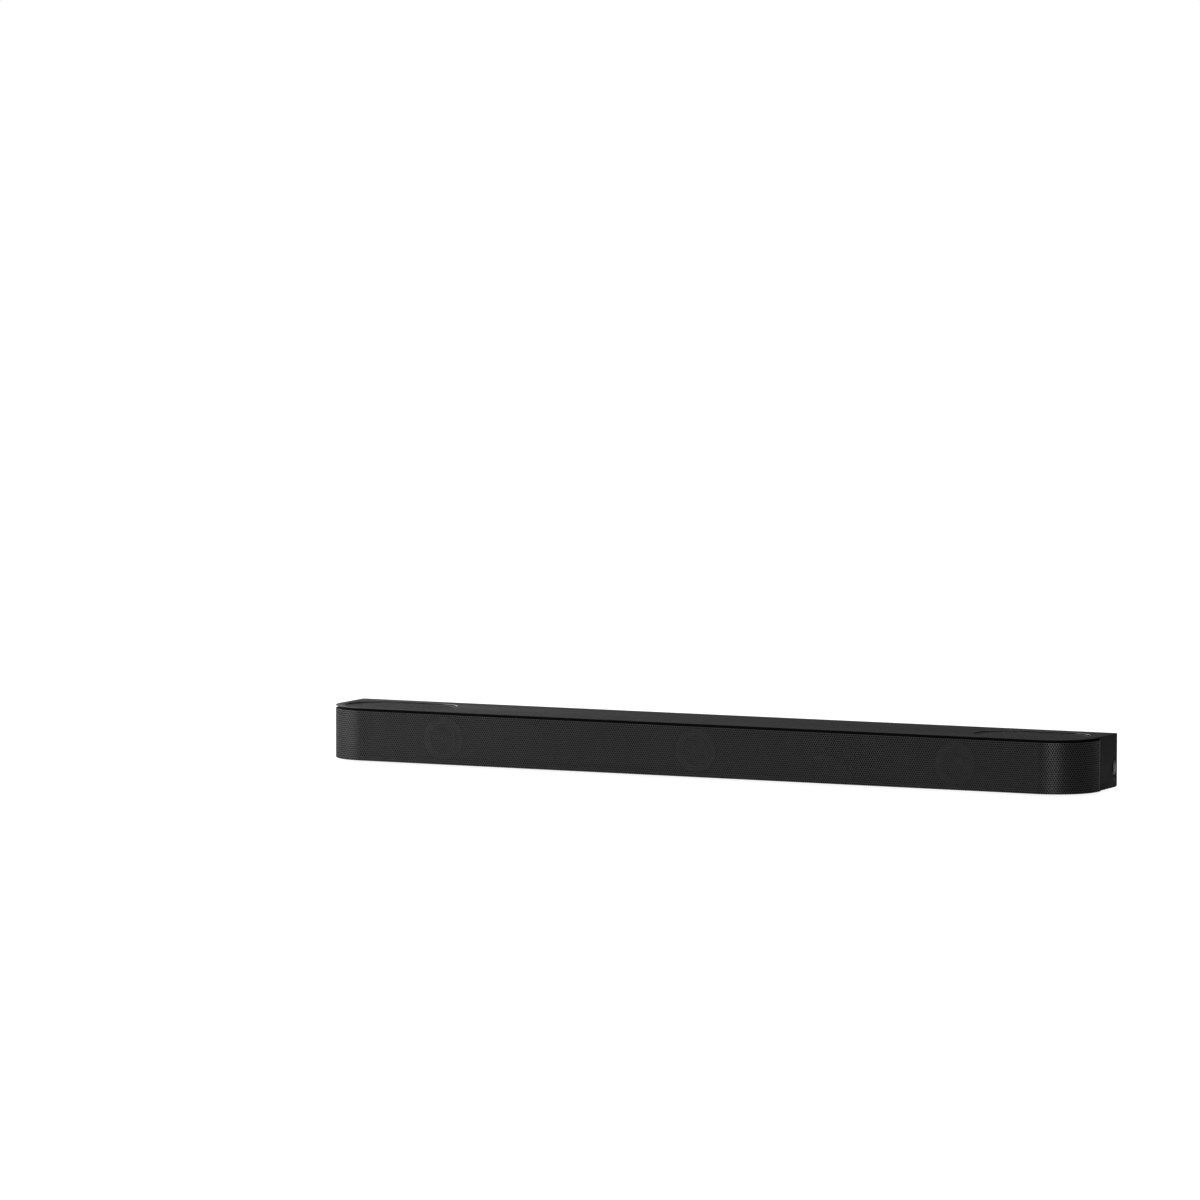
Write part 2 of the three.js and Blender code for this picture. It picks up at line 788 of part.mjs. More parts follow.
function addDrivers() {
  const forward = Math.PI / 2;
  addDriver('left_driver', [-outerDriverX, driverY, driverZ], forward);
  addDriver('centre_driver', [0, driverY, driverZ], forward);
  addDriver('right_driver', [outerDriverX, driverY, driverZ], forward);
  for (const [name, side] of [['left', -1], ['right', 1]]) {
    add(`upfire_bracket_${name}`, makeUpfireBracket(side), 'chassis');
    addDriver(`upfire_${name}`, upfireMiddle(side), upfireTilt);
  }
}

function addConnectors() {
  const mouth = rear - signalBay.depth + 3;
  const signalWindows = [videoOut, videoIn, optical].map((socket) => socketWindow(socket, signalBay));
  add('signal_bay', makeBay(signalBay, signalWindows), 'housing');
  add('power_bay', makeBay(powerBay, [socketWindow(inlet, powerBay)]), 'housing');
  add('video_out_port', makeSocket(videoOut, 13, mouth), 'connectorMetal');
  add('video_in_port', makeSocket(videoIn, 13, mouth), 'connectorMetal');
  add('optical_port', makeOpticalPort(), 'connectorPlastic');
  add('optical_shutter', makeOpticalShutter(), 'connectorPlastic');
  add('mains_inlet', makeInlet(), 'connectorPlastic');
  add('side_port', makeSidePort(), 'connectorMetal');
  add('side_port_bezel', makePortBezel(), 'housing');
}

function addElectronics() {
  add('main_board', makeMainBoard(), 'board');
  add('power_board', makePowerBoard(), 'board');
  add('heat_sink', makeHeatSink(), 'aluminium');
  const cardLow = [-outerDriverX - 16, 14, baseTop + gap];
  add('wireless_card', makeCard(cardLow, [30, 26, 1], { margin: 3, height: 2 }), 'board');
  const touchLow = [-50, podY - 24, topBottom - gap - 3];
  add('touch_board', makeCard(touchLow, [100, 20, 1], { margin: 4, height: 1.6 }), 'board');
  add('indicator_board', makeIndicatorBoard(), 'board');
  add('indicator_lens', makeIndicatorLens(), 'lens');
  add('speaker_cable_left', speakerCable(-1), 'cable');
  add('speaker_cable_right', speakerCable(1), 'cable');
  add('side_port_cable', sidePortCable(), 'cable');
}

function addFixings() {
  for (const { name, x, y } of screwPlaces) {
    add(name, makeScrew(), 'blackScrew', [x, y, baseBottom - 0.4]);
  }
  const footX = podOuterX - sideFootInset;
  const frontFootY = podY - sideFootSetback;
  const places = {
    foot_front_left: [-footX, frontFootY, 0],
    foot_front_centre: [0, front + centreFootInset, 0],
    foot_front_right: [footX, frontFootY, 0],
    foot_rear_left: [-footX, rear - rearFootInset, 0],
    foot_rear_centre: [0, rear - rearFootInset, 0],
    foot_rear_right: [footX, rear - rearFootInset, 0],
  };
  for (const [name, place] of Object.entries(places)) add(name, makeFoot(), 'rubber', place);
  for (const [name, side] of [['left', -1], ['right', 1]]) {
    add(`wall_plate_${name}`, makeWallPlate(side), 'steel');
  }
}

// Steel plate behind the rear wall that carries the bar on a screw's head.
function makeWallPlate(side) {
  const x = side * (halfLength - keyhole.inset);
  const back = rear - wall - gap;
  const low = keyhole.z - keyhole.drop;
  const inner = back - keyholePlateThickness;
  const plate = box([x - 20, inner, low - 11], [x + 20, back, keyhole.z + 10]);
  return cut(plate, extrudeAlongY(keyholeShape(x, gap), back - 3, back + 1));
}

addCasing();
addDrivers();
addConnectors();
addElectronics();
addFixings();

export default group;
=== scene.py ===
# %% [markdown]
# # A soundbar
# The bar's design is already settled: its shells, drivers, sockets, sizes and joints come in as a fixed
# frame. What is left is how it looks. We start by loading the frame, and keep its box, because nothing
# that we make may be larger than the real bar.

# %% Load the frame
import math

import bmesh
import bpy
from mathutils import Matrix, Vector


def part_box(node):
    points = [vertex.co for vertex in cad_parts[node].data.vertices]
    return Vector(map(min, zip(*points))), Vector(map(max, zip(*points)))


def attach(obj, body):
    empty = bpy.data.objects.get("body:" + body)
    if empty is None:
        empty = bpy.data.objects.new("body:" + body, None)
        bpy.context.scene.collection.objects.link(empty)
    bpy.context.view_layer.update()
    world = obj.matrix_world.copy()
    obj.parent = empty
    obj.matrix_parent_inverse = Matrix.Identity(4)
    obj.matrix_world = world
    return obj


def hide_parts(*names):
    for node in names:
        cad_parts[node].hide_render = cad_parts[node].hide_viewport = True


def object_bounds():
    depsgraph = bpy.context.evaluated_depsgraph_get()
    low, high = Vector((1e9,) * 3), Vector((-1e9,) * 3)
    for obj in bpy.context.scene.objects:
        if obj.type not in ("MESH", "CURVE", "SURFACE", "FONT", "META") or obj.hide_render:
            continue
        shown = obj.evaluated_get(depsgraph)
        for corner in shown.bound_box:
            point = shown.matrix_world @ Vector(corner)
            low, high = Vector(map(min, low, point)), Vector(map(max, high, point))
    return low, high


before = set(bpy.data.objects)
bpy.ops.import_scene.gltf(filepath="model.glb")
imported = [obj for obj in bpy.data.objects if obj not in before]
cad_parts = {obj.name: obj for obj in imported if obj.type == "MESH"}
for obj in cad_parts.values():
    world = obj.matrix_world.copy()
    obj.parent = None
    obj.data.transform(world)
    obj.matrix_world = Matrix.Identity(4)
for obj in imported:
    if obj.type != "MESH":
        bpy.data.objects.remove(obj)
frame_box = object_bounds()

MM = 0.001
bar_low, bar_high = frame_box
print(f"the bar is {(bar_high - bar_low) / MM} mm")

# %% [markdown]
# The camera stands well back with a long lens, a little above the bar and to its right. It looks over the
# bar rather than straight at it, so it is placed by its own bearing and tilt and not aimed at a target.

# %% Camera
CAMERA_PLACE = Vector((3.8795, -8.5136, 0.9598))
CAMERA_BEARING = math.radians(25.286)
CAMERA_TILT = math.radians(4.640)
CAMERA_ROLL = math.radians(0.093)
CAMERA_LENS, SENSOR_WIDTH = 246.86, 36.0     # in mm

camera_data = bpy.data.cameras.new("camera")
camera_data.lens, camera_data.sensor_width = CAMERA_LENS, SENSOR_WIDTH
camera_data.clip_start, camera_data.clip_end = 0.5, 400.0
camera = bpy.data.objects.new("camera", camera_data)
bpy.context.scene.collection.objects.link(camera)
swung = Matrix.Rotation(CAMERA_BEARING, 4, "Z")
tilted = Matrix.Rotation(math.pi / 2 - CAMERA_TILT, 4, "X")
rolled = Matrix.Rotation(CAMERA_ROLL, 4, "Z")
camera.matrix_world = Matrix.Translation(CAMERA_PLACE) @ swung @ tilted @ rolled
bpy.context.scene.camera = camera
print("the camera is", round((CAMERA_PLACE - (bar_low + bar_high) / 2).length, 2), "m away")

# %% [markdown]
# The floor is one pale sheet that runs far past the bar. Black plastic shows mostly what it mirrors, so the
# lights matter more than the colours. The floor is a table lit from below, as used for product pictures,
# with a wide soft sun above it. The floor and the world are white where the camera sees them, so that the
# horizon doesn't show, and dim for everything else, as black cloth round the table would make them.

# %% Floor and world
FLOOR_SIZE = 160
FLOOR_GREY, FLOOR_GLOW = 0.2, 0.92
WORLD_GLOW = 0.06
bpy.ops.object.select_all(action="DESELECT")
bpy.ops.mesh.primitive_plane_add(size=FLOOR_SIZE)
floor = bpy.context.object
floor.name = "floor"
paper = bpy.data.materials.new("pale_paper")
paper.use_nodes = True
paper_shader = paper.node_tree.nodes["Principled BSDF"]
paper_shader.inputs["Base Color"].default_value = (FLOOR_GREY, FLOOR_GREY, FLOOR_GREY, 1)
paper_shader.inputs["Emission Color"].default_value = (1, 1, 1, 1)
paper_nodes, paper_links = paper.node_tree.nodes, paper.node_tree.links
lit_from_below = paper_nodes.new("ShaderNodeMath")
lit_from_below.operation = "MULTIPLY"
lit_from_below.inputs[1].default_value = FLOOR_GLOW
directly = paper_nodes.new("ShaderNodeLightPath").outputs["Is Camera Ray"]
paper_links.new(directly, lit_from_below.inputs[0])
paper_links.new(lit_from_below.outputs["Value"], paper_shader.inputs["Emission Strength"])
paper_shader.inputs["Roughness"].default_value = 0.9
paper_shader.inputs["Specular IOR Level"].default_value = 0.1
floor.data.materials.append(paper)

world = bpy.data.worlds.new("studio")
world.use_nodes = True
world_nodes, world_links = world.node_tree.nodes, world.node_tree.links
glow = world_nodes["Background"]
glow.inputs["Color"].default_value = (1, 1, 1, 1)
glow.inputs["Strength"].default_value = WORLD_GLOW
backdrop = world_nodes.new("ShaderNodeBackground")
backdrop.inputs["Color"].default_value = (1, 1, 1, 1)
seen = world_nodes.new("ShaderNodeLightPath")
choice = world_nodes.new("ShaderNodeMixShader")
world_links.new(seen.outputs["Is Camera Ray"], choice.inputs["Fac"])
world_links.new(glow.outputs["Background"], choice.inputs[1])
world_links.new(backdrop.outputs["Background"], choice.inputs[2])
world_links.new(choice.outputs["Shader"], world_nodes["World Output"].inputs["Surface"])
bpy.context.scene.world = world
bpy.context.scene.view_settings.view_transform = "Standard"
print("floor and world are in")


# %% Lights
def soft_panel(name, place, aim, width, height, watts):
    """A rectangular studio light that faces a point."""
    data = bpy.data.lights.new(name, "AREA")
    data.shape, data.size, data.size_y, data.energy = "RECTANGLE", width, height, watts
    panel = bpy.data.objects.new(name, data)
    bpy.context.scene.collection.objects.link(panel)
    facing = (Vector(aim) - Vector(place)).to_track_quat("-Z", "Y")
    panel.matrix_world = Matrix.Translation(place) @ facing.to_matrix().to_4x4()
    return panel


SUN_STRENGTH, SUN_WIDTH = 3.1, math.radians(90)
sun_data = bpy.data.lights.new("soft_sun", "SUN")
sun_data.energy, sun_data.angle = SUN_STRENGTH, SUN_WIDTH
bpy.context.scene.collection.objects.link(bpy.data.objects.new("soft_sun", sun_data))
soft_panel("key_panel", (1.4, -3.3, 0.55), (0.42, 0, 0.03), 1.3, 1.1, 55)
soft_panel("left_panel", (-2.2, 0.2, 0.8), (-0.4, 0, 0), 3.8, 1.5, 72)
soft_panel("left_front_panel", (-2.1, -1.3, 0.6), (-0.4, 0, 0.03), 1.5, 1.2, 46)

# %% [markdown]
# ## Working by hand, from a script
# Each new piece starts as a primitive at its size and place, and is shaped in edit mode. An operator acts
# on everything that is selected, so these small helpers always clear the selection first, and then pick
# vertices, edges or faces by where they are.


# %% Picking and settling
def only(piece):
    """Makes one piece the only selected one."""
    if bpy.context.mode != "OBJECT":
        bpy.ops.object.mode_set(mode="OBJECT")
    bpy.ops.object.select_all(action="DESELECT")
    piece.select_set(True)
    bpy.context.view_layer.objects.active = piece
    return piece


def settle(piece, name=None):
    """Puts a piece's place, turn and scale into its mesh, and may name it."""
    only(piece)
    bpy.ops.object.transform_apply(location=True, rotation=True, scale=True)
    if name:
        piece.name = piece.data.name = name
    return piece


def pick(piece, kind, test):
    """Goes into edit mode with the vertices, edges or faces that pass a test selected."""
    only(piece)
    bpy.ops.object.mode_set(mode="EDIT")
    bpy.ops.mesh.select_mode(type=kind)
    bpy.ops.mesh.select_all(action="DESELECT")
    mesh = bmesh.from_edit_mesh(piece.data)
    parts = {"VERT": mesh.verts, "EDGE": mesh.edges, "FACE": mesh.faces}[kind]
    chosen = [part for part in parts if test(part)]
    for part in chosen:
        part.select_set(True)
    bmesh.update_edit_mesh(piece.data)
    return len(chosen)


def near(value, target, within=1e-5):
    return abs(value - target) < within


def lies_along(edge, axis):
    """True if an edge runs along X (0), Y (1) or Z (2)."""
    run = edge.verts[1].co - edge.verts[0].co
    return abs(run[axis]) > 0.999 * run.length


def round_edges(piece, test, radius, steps):
    """Bevels the edges that pass a test."""
    count = pick(piece, "EDGE", test)
    bpy.ops.mesh.bevel(offset=radius, offset_type="OFFSET", segments=steps, affect="EDGES")
    only(piece)
    return count


def apply_modifier(piece, kind, **settings):
    """Adds a modifier, sets it up and applies it."""
    only(piece)
    modifier = piece.modifiers.new(kind.lower(), kind)
    for key, value in settings.items():
        setattr(modifier, key, value)
    bpy.ops.object.modifier_apply(modifier=modifier.name)
    return piece


def smooth(piece, degrees=30):
    only(piece)
    bpy.ops.object.shade_smooth_by_angle(angle=math.radians(degrees))
    return piece


def soften(piece, width, steps=2, degrees=40):
    """Takes the sharpness off a piece's edges and shades it smooth."""
    apply_modifier(
        piece,
        "BEVEL",
        width=width,
        segments=steps,
        limit_method="ANGLE",
        angle_limit=math.radians(degrees),
        use_clamp_overlap=True,
    )
    return smooth(piece)


def carve(piece, *cutters, how="DIFFERENCE"):
    """Cuts shapes out of a piece, or joins them to it, and removes the shapes."""
    for cutter in cutters:
        apply_modifier(piece, "BOOLEAN", operation=how, solver="EXACT", object=cutter)
        bpy.data.objects.remove(cutter)
    return piece


# %% Blocks, pills and rods
def block(name, low, high):
    """A box between two corners."""
    low, high = Vector(low), Vector(high)
    bpy.ops.object.select_all(action="DESELECT")
    bpy.ops.mesh.primitive_cube_add(size=1, location=(low + high) / 2, scale=high - low)
    return settle(bpy.context.object, name)


def pill(name, low, high, axis, steps=24):
    """A box whose four edges along one axis are rounded as far as they go."""
    piece = block(name, low, high)
    across = [high[other] - low[other] for other in range(3) if other != axis]
    round_edges(piece, lambda edge: lies_along(edge, axis), min(across) / 2 * 0.9999, steps)
    return piece


def rod(name, centre, radius, length, axis, steps=48):
    """A cylinder along X, Y or Z."""
    turn = {0: (0, math.pi / 2, 0), 1: (math.pi / 2, 0, 0), 2: (0, 0, 0)}[axis]
    bpy.ops.object.select_all(action="DESELECT")
    bpy.ops.mesh.primitive_cylinder_add(
        vertices=steps, radius=radius, depth=length, location=centre, rotation=turn
    )
    return settle(bpy.context.object, name)


def grown(corners, x=0.0, y=0.0, z=0.0):
    """A box's two corners, moved out by a distance on each axis (or in, where it is negative)."""
    low, high = corners
    by = Vector((x, y, z))
    return Vector(low) - by, Vector(high) + by


# %% [markdown]
# ## Finishes
# A finish is a node material. All of them read Object coordinates, so that a pattern stays where it is
# when a piece moves. Each has three scales of detail: a fine grain that is felt more than seen, patches
# where the polish differs a little, and a slow drift of colour.


# %% Material helpers
class Finish:
    """A node material under construction."""

    def __init__(self, name, colour, roughness, metallic=0.0, specular=0.5):
        self.material = bpy.data.materials.new(name)
        self.material.use_nodes = True
        self.nodes = self.material.node_tree.nodes
        self.links = self.material.node_tree.links
        self.shader = self.nodes["Principled BSDF"]
        self.colour = colour
        self.roughness = roughness
        self.place = self.nodes.new("ShaderNodeTexCoord").outputs["Object"]
        self.shader.inputs["Metallic"].default_value = metallic
        self.shader.inputs["Specular IOR Level"].default_value = specular
        self.shader.inputs["Base Color"].default_value = (*colour, 1)
        self.shader.inputs["Roughness"].default_value = roughness
        self.normal = None

    def noise(self, scale, detail=2.0, roughness=0.5):
        node = self.nodes.new("ShaderNodeTexNoise")
        node.inputs["Scale"].default_value = scale
        node.inputs["Detail"].default_value = detail
        node.inputs["Roughness"].default_value = roughness
        self.links.new(self.place, node.inputs["Vector"])
        return node.outputs["Fac"]

    def spread(self, value, low, high, start=0.3, end=0.7):
        """Maps a pattern's values to a range."""
        node = self.nodes.new("ShaderNodeMapRange")
        node.inputs["From Min"].default_value = start
        node.inputs["From Max"].default_value = end
        node.inputs["To Min"].default_value = low
        node.inputs["To Max"].default_value = high
        self.links.new(value, node.inputs["Value"])
        return node.outputs["Result"]

    def drift(self, scale=9.0, amount=0.05):
        """Slow patches of slightly darker and lighter colour."""
        mix = self.nodes.new("ShaderNodeMix")
        mix.data_type = "RGBA"
        mix.inputs["A"].default_value = (*[c * (1 - amount) for c in self.colour], 1)
        mix.inputs["B"].default_value = (*[c * (1 + amount) for c in self.colour], 1)
        self.links.new(self.spread(self.noise(scale), 0, 1), mix.inputs["Factor"])
        self.links.new(mix.outputs["Result"], self.shader.inputs["Base Color"])
        return self

    def patches(self, scale=60.0, amount=0.025):
        """Patches where the polish differs."""
        value = self.spread(
            self.noise(scale, 4.0), self.roughness - amount, self.roughness + amount
        )
        self.links.new(value, self.shader.inputs["Roughness"])
        return self

    def bump(self, height, distance, strength=1.0):
        node = self.nodes.new("ShaderNodeBump")
        node.inputs["Distance"].default_value = distance
        node.inputs["Strength"].default_value = strength
        self.links.new(height, node.inputs["Height"])
        if self.normal is not None:
            self.links.new(self.normal, node.inputs["Normal"])
        self.normal = node.outputs["Normal"]
        self.links.new(self.normal, self.shader.inputs["Normal"])
        return self

    def grain(self, scale=2600.0, distance=0.02 * MM, strength=0.35):
        return self.bump(self.noise(scale, 3.0, 0.6), distance, strength)


def moulded(name, colour, roughness, specular=0.5, grain=0.02):
    """Injection-moulded plastic with a fine sparked texture."""
    finish = Finish(name, colour, roughness, specular=specular)
    return finish.drift().patches().grain(distance=grain * MM).material


def metal(name, colour, roughness):
    """Bare or plated metal, brushed a little along X."""
    finish = Finish(name, colour, roughness, metallic=1.0)
    stretch = finish.nodes.new("ShaderNodeMapping")
    stretch.inputs["Scale"].default_value = (0.05, 1, 1)
    finish.links.new(finish.place, stretch.inputs["Vector"])
    finish.place = stretch.outputs["Vector"]
    finish.patches(900.0, roughness * 0.3)
    return finish.grain(1800.0, 0.01 * MM, 0.3).drift(30.0, 0.05).material


top_plastic = moulded("top_plastic", (0.010, 0.010, 0.0105), 0.5, 0.125, 0.015)
housing_plastic = moulded("housing_plastic", (0.009, 0.009, 0.0094), 0.52, 0.18, 0.03)
chassis_plastic = moulded("chassis_plastic", (0.006, 0.006, 0.0062), 0.7, 0.2)
# The next finish is a painted highlight: a pale colour for the lit part of the port cup's rear wall.
cup_highlight_paint = moulded("cup_highlight_paint", (0.11, 0.11, 0.112), 0.35, 0.5, 0.01)
# The next finish is smoother than the top, for the polish of handling, and lighter, as a painted highlight.
polish_and_glint_edge = moulded("polish_and_glint_edge", (0.02, 0.02, 0.0205), 0.28, 0.6, 0.006)
socket_plastic = moulded("socket_plastic", (0.012, 0.012, 0.012), 0.4, 0.4)
grille_steel = moulded("grille_steel", (0.018, 0.018, 0.0184), 0.4, 0.42, 0.012)
pod_mesh_finish = moulded("pod_mesh_finish", (0.012, 0.012, 0.0124), 0.42, 0.2, 0.012)
# The next finish is painted shade: a near-black for pieces set in grooves, seams and hollows where shade
# falls.
shade_black = moulded("shade_black", (0.002, 0.002, 0.002), 0.95, 0.05, 0.05)
basket_paint = moulded("basket_paint", (0.014, 0.014, 0.0144), 0.45, 0.35, 0.02)
cone_paper = moulded("cone_paper", (0.012, 0.012, 0.0124), 0.65, 0.35, 0.06)
ferrite = moulded("ferrite", (0.05, 0.05, 0.052), 0.45, 0.6, 0.04)
foot_rubber = moulded("foot_rubber", (0.012, 0.012, 0.012), 0.85, 0.25, 0.05)
cable_jacket = moulded("cable_jacket", (0.015, 0.015, 0.016), 0.55, 0.4, 0.02)
smoked_lens = moulded("smoked_lens", (0.01, 0.01, 0.012), 0.12, 0.5, 0.002)
pale_ink = moulded("pale_ink", (0.2, 0.2, 0.2), 0.6, 0.3, 0.01)
black_board = moulded("black_board", (0.004, 0.004, 0.0042), 0.6, 0.2, 0.03)
circuit_board = moulded("circuit_board", (0.02, 0.09, 0.04), 0.45, 0.5, 0.03)
socket_metal = metal("socket_metal", (0.62, 0.62, 0.64), 0.32)
zinc_steel = metal("zinc_steel", (0.55, 0.56, 0.58), 0.38)
bare_aluminium = metal("bare_aluminium", (0.75, 0.76, 0.78), 0.36)
black_screw = metal("black_screw", (0.06, 0.06, 0.062), 0.4)
gilt = metal("gilt", (0.85, 0.62, 0.25), 0.3)
print(len(bpy.data.materials), "materials so far")


# %% Handing a piece to the frame
def keep(piece, finish, body="root", stands_for=()):
    """Gives a finished piece its material and the body that it rides on."""
    piece.data.materials.clear()
    piece.data.materials.append(finish)
    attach(piece, body)
    if stands_for:
        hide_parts(*stands_for)
    return piece


def softened(node, width, name=None, steps=2):
    """A copy of a CAD node with its loose triangles merged into faces and its edges eased."""
    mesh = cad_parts[node].data.copy()
    piece = bpy.data.objects.new(name or f"{node}_finished", mesh)
    bpy.context.scene.collection.objects.link(piece)
    pick(piece, "VERT", lambda vertex: True)
    bpy.ops.mesh.remove_doubles(threshold=0.001 * MM)
    bpy.ops.mesh.dissolve_limited(angle_limit=math.radians(0.5))
    only(piece)
    return soften(piece, width, steps)


# %% [markdown]
# ## The outline of the bar
# From above, the bar is a rectangle with two large round corners in front and two small ones behind. Many
# pieces follow that outline at some distance inside it: the lip, its neck, the base. So the outline is
# made by one helper, as a block whose upright edges are bevelled.

# %% A slab with the bar's outline
FRONT_CORNER = 52 * MM
REAR_CORNER = 1.2 * MM
front_y, rear_y = bar_low.y, bar_high.y
end_x, top_z = bar_high.x, bar_high.z


def bar_slab(name, inset, low_z, high_z, steps=40):
    """A slab that follows the bar's outline at a distance inside it."""
    low = (-end_x + inset, front_y + inset, low_z)
    high = (end_x - inset, rear_y - inset, high_z)
    piece = block(name, low, high)
    in_front = lambda edge: lies_along(edge, 2) and near(edge.verts[0].co.y, low[1])
    behind = lambda edge: lies_along(edge, 2) and near(edge.verts[0].co.y, high[1])
    round_edges(piece, in_front, FRONT_CORNER - inset, steps)
    round_edges(piece, behind, max(REAR_CORNER - inset, 0.4 * MM), 6)
    return piece


# %% [markdown]
# ## The top panel
# On the real bar this is one moulding: a flat plate whose edge thins to a lip over the shadow groove, with
# an oval opening at each end. It could be lofted as one surface, but four slabs at different insets, joined
# and cut, keep the steps of the edge parallel all the way round the corners. Each opening is cut by two
# pills: a wide one for the mesh, and a narrower one that leaves a ledge for the mesh to lie on.

# %% The plate and its neck
LIP = 0.6 * MM
OVERHANG = 4 * MM
NECK_WALL = 2 * MM
PANEL_THICKNESS = 3 * MM
SEAM_Y = 4 * MM
GRILLE_THICKNESS = 0.8 * MM
panel_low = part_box("top_panel")[0]
under_z = top_z - PANEL_THICKNESS

top_plate = bar_slab("top_plate", 0, top_z - LIP, top_z, 48)
slab = bar_slab("slab", OVERHANG, under_z, top_z - LIP / 2)
neck = bar_slab("neck", OVERHANG, panel_low.z, under_z + LIP)
neck_inside = bar_slab("neck_inside", OVERHANG + NECK_WALL, 0, top_z)
neck_behind = block("neck_behind", (-1, SEAM_Y, 0), (1, 1, top_z))
carve(neck, neck_inside, neck_behind)
carve(top_plate, slab, neck, how="UNION")
print("the top panel starts with", len(top_plate.data.polygons), "faces")

# %% The pod openings
POD_LEDGE = 3 * MM
POD_GAP = 0.3 * MM
POD_CHAMFER = 0.5 * MM
LIP_CHAMFER = 0.25 * MM


def pod_pill(name, side, grow, low_z, high_z, steps=48):
    """A pill in the shape of a pod's mesh, a little larger or smaller."""
    low, high = grown(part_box(f"pod_mesh_{side}"), grow, grow)
    return pill(name, (low.x, low.y, low_z), (high.x, high.y, high_z), 2, steps)


for side in ("left", "right"):
    ledge_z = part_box(f"pod_mesh_{side}")[0].z - POD_GAP
    opening = pod_pill("opening", side, POD_GAP, ledge_z, top_z + MM)
    hole = pod_pill("hole", side, POD_GAP - POD_LEDGE, panel_low.z - MM, top_z)
    carve(top_plate, opening, hole)


pod_low, pod_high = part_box("pod_mesh_right")
pod_radius = (pod_high.y - pod_low.y) / 2
pod_middle = (pod_low + pod_high) / 2


def from_pod_axis(place):
    """How far a place is from the line between the centres of the nearer pod's two round ends."""
    x = min(max(abs(place.x), pod_low.x + pod_radius), pod_high.x - pod_radius)
    return math.hypot(abs(place.x) - x, place.y - pod_middle.y)


def on_top_rim(edge, inner):
    """True for the top edges round the pods (inner), or round the whole panel (outer)."""
    if not all(near(vertex.co.z, top_z) for vertex in edge.verts):
        return False
    reach = pod_radius + POD_GAP + 0.2 * MM
    by_pod = all(from_pod_axis(vertex.co) < reach for vertex in edge.verts)
    return by_pod == inner and edge.calc_face_angle(0) > math.radians(60)


count = round_edges(top_plate, lambda edge: on_top_rim(edge, True), POD_CHAMFER, 3)
print(count, "edges round the pods")
count = round_edges(top_plate, lambda edge: on_top_rim(edge, False), LIP_CHAMFER, 2)
print(count, "edges round the lip")
smooth(top_plate)
keep(top_plate, top_plastic, stands_for=["top_panel"])

# Fingers and cloths polish the edges round the pods, so those faces get a smoother finish. Their lighter
# colour is a painted highlight, for the glints at the pod tips.
top_plate.data.materials.append(polish_and_glint_edge)
for face in top_plate.data.polygons:
    sloping = 0.2 < face.normal.z < 0.95 and face.center.z > top_z - POD_CHAMFER
    if sloping and from_pod_axis(face.center) < pod_radius + POD_GAP + POD_CHAMFER:
        face.material_index = 1

# %% [markdown]
# ## Painted shade round the panel
# Black pieces paint the shade in the groove under the panel's edge and on the pods' walls, so that the
# panel's edges read as crisp dark lines. A band goes round the neck, with a flat ledge over the grille's
# top edge as the floor of the groove. A liner goes round the wall of each pod. Their black is the darkest
# finish on the bar. Each piece is the difference of two shapes that are already at hand.

# %% Neck band and pod liners
SHADE_BAND_WALL = 0.5 * MM
FLOOR_GAP, FLOOR_DROP = 0.2 * MM, 0.1 * MM
LINER_GAP = 0.05 * MM
GROOVE_TOP = top_z - LIP
# The band and the groove floor are black to paint the shade in the groove under the lip.
neck_band = bar_slab("neck_band", OVERHANG - SHADE_BAND_WALL, panel_low.z, GROOVE_TOP)
band_inside = bar_slab("band_inside", OVERHANG, 0, 1)
band_behind = block("band_behind", (-1, SEAM_Y, 0), (1, 1, 1))
carve(neck_band, band_inside, band_behind)
floor_inset = GRILLE_THICKNESS + FLOOR_GAP
groove_floor = bar_slab("groove_floor", floor_inset, panel_low.z - FLOOR_DROP, panel_low.z + MM)
floor_inside = bar_slab("floor_inside", OVERHANG - SHADE_BAND_WALL / 2, 0, 1)
floor_behind = block("floor_behind", (-1, SEAM_Y, 0), (1, 1, 1))
carve(groove_floor, floor_inside, floor_behind)
carve(neck_band, groove_floor, how="UNION")
smooth(neck_band)
keep(neck_band, shade_black)
# Each pod's liner is black to paint the shade on the wall of its recess.
for side in ("left", "right"):
    ledge_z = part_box(f"pod_mesh_{side}")[0].z - POD_GAP
    liner = pod_pill(f"pod_liner_{side}", side, POD_GAP, ledge_z, top_z - POD_CHAMFER, 48)
    carve(liner, pod_pill("inside", side, LINER_GAP, 0, 1, 48))
    smooth(liner)
    keep(liner, shade_black)
print("the liners are", round((POD_GAP - LINER_GAP) / MM, 2), "mm thick")

# %% [markdown]
# ## Perforated sheet
# The grille and the pods are sheets with thousands of round holes. A Boolean with thousands of cylinders
# would be slow and leave poor faces. So one small tile is made: a ring of faces between a round hole and a
# rectangle. An Array repeats it in a line, the next line is the same one turned round, so that its holes
# stand half a step further on, and a second Array repeats the pair across the sheet.


# %% Tiles
def flat_grid(name, width, height, rows):
    """A flat rectangle, two faces wide, in X and Y."""
    bpy.ops.object.select_all(action="DESELECT")
    bpy.ops.mesh.primitive_grid_add(x_subdivisions=2, y_subdivisions=rows, size=1)
    piece = bpy.context.object
    piece.scale = (width, height, 1)
    return settle(piece, name)


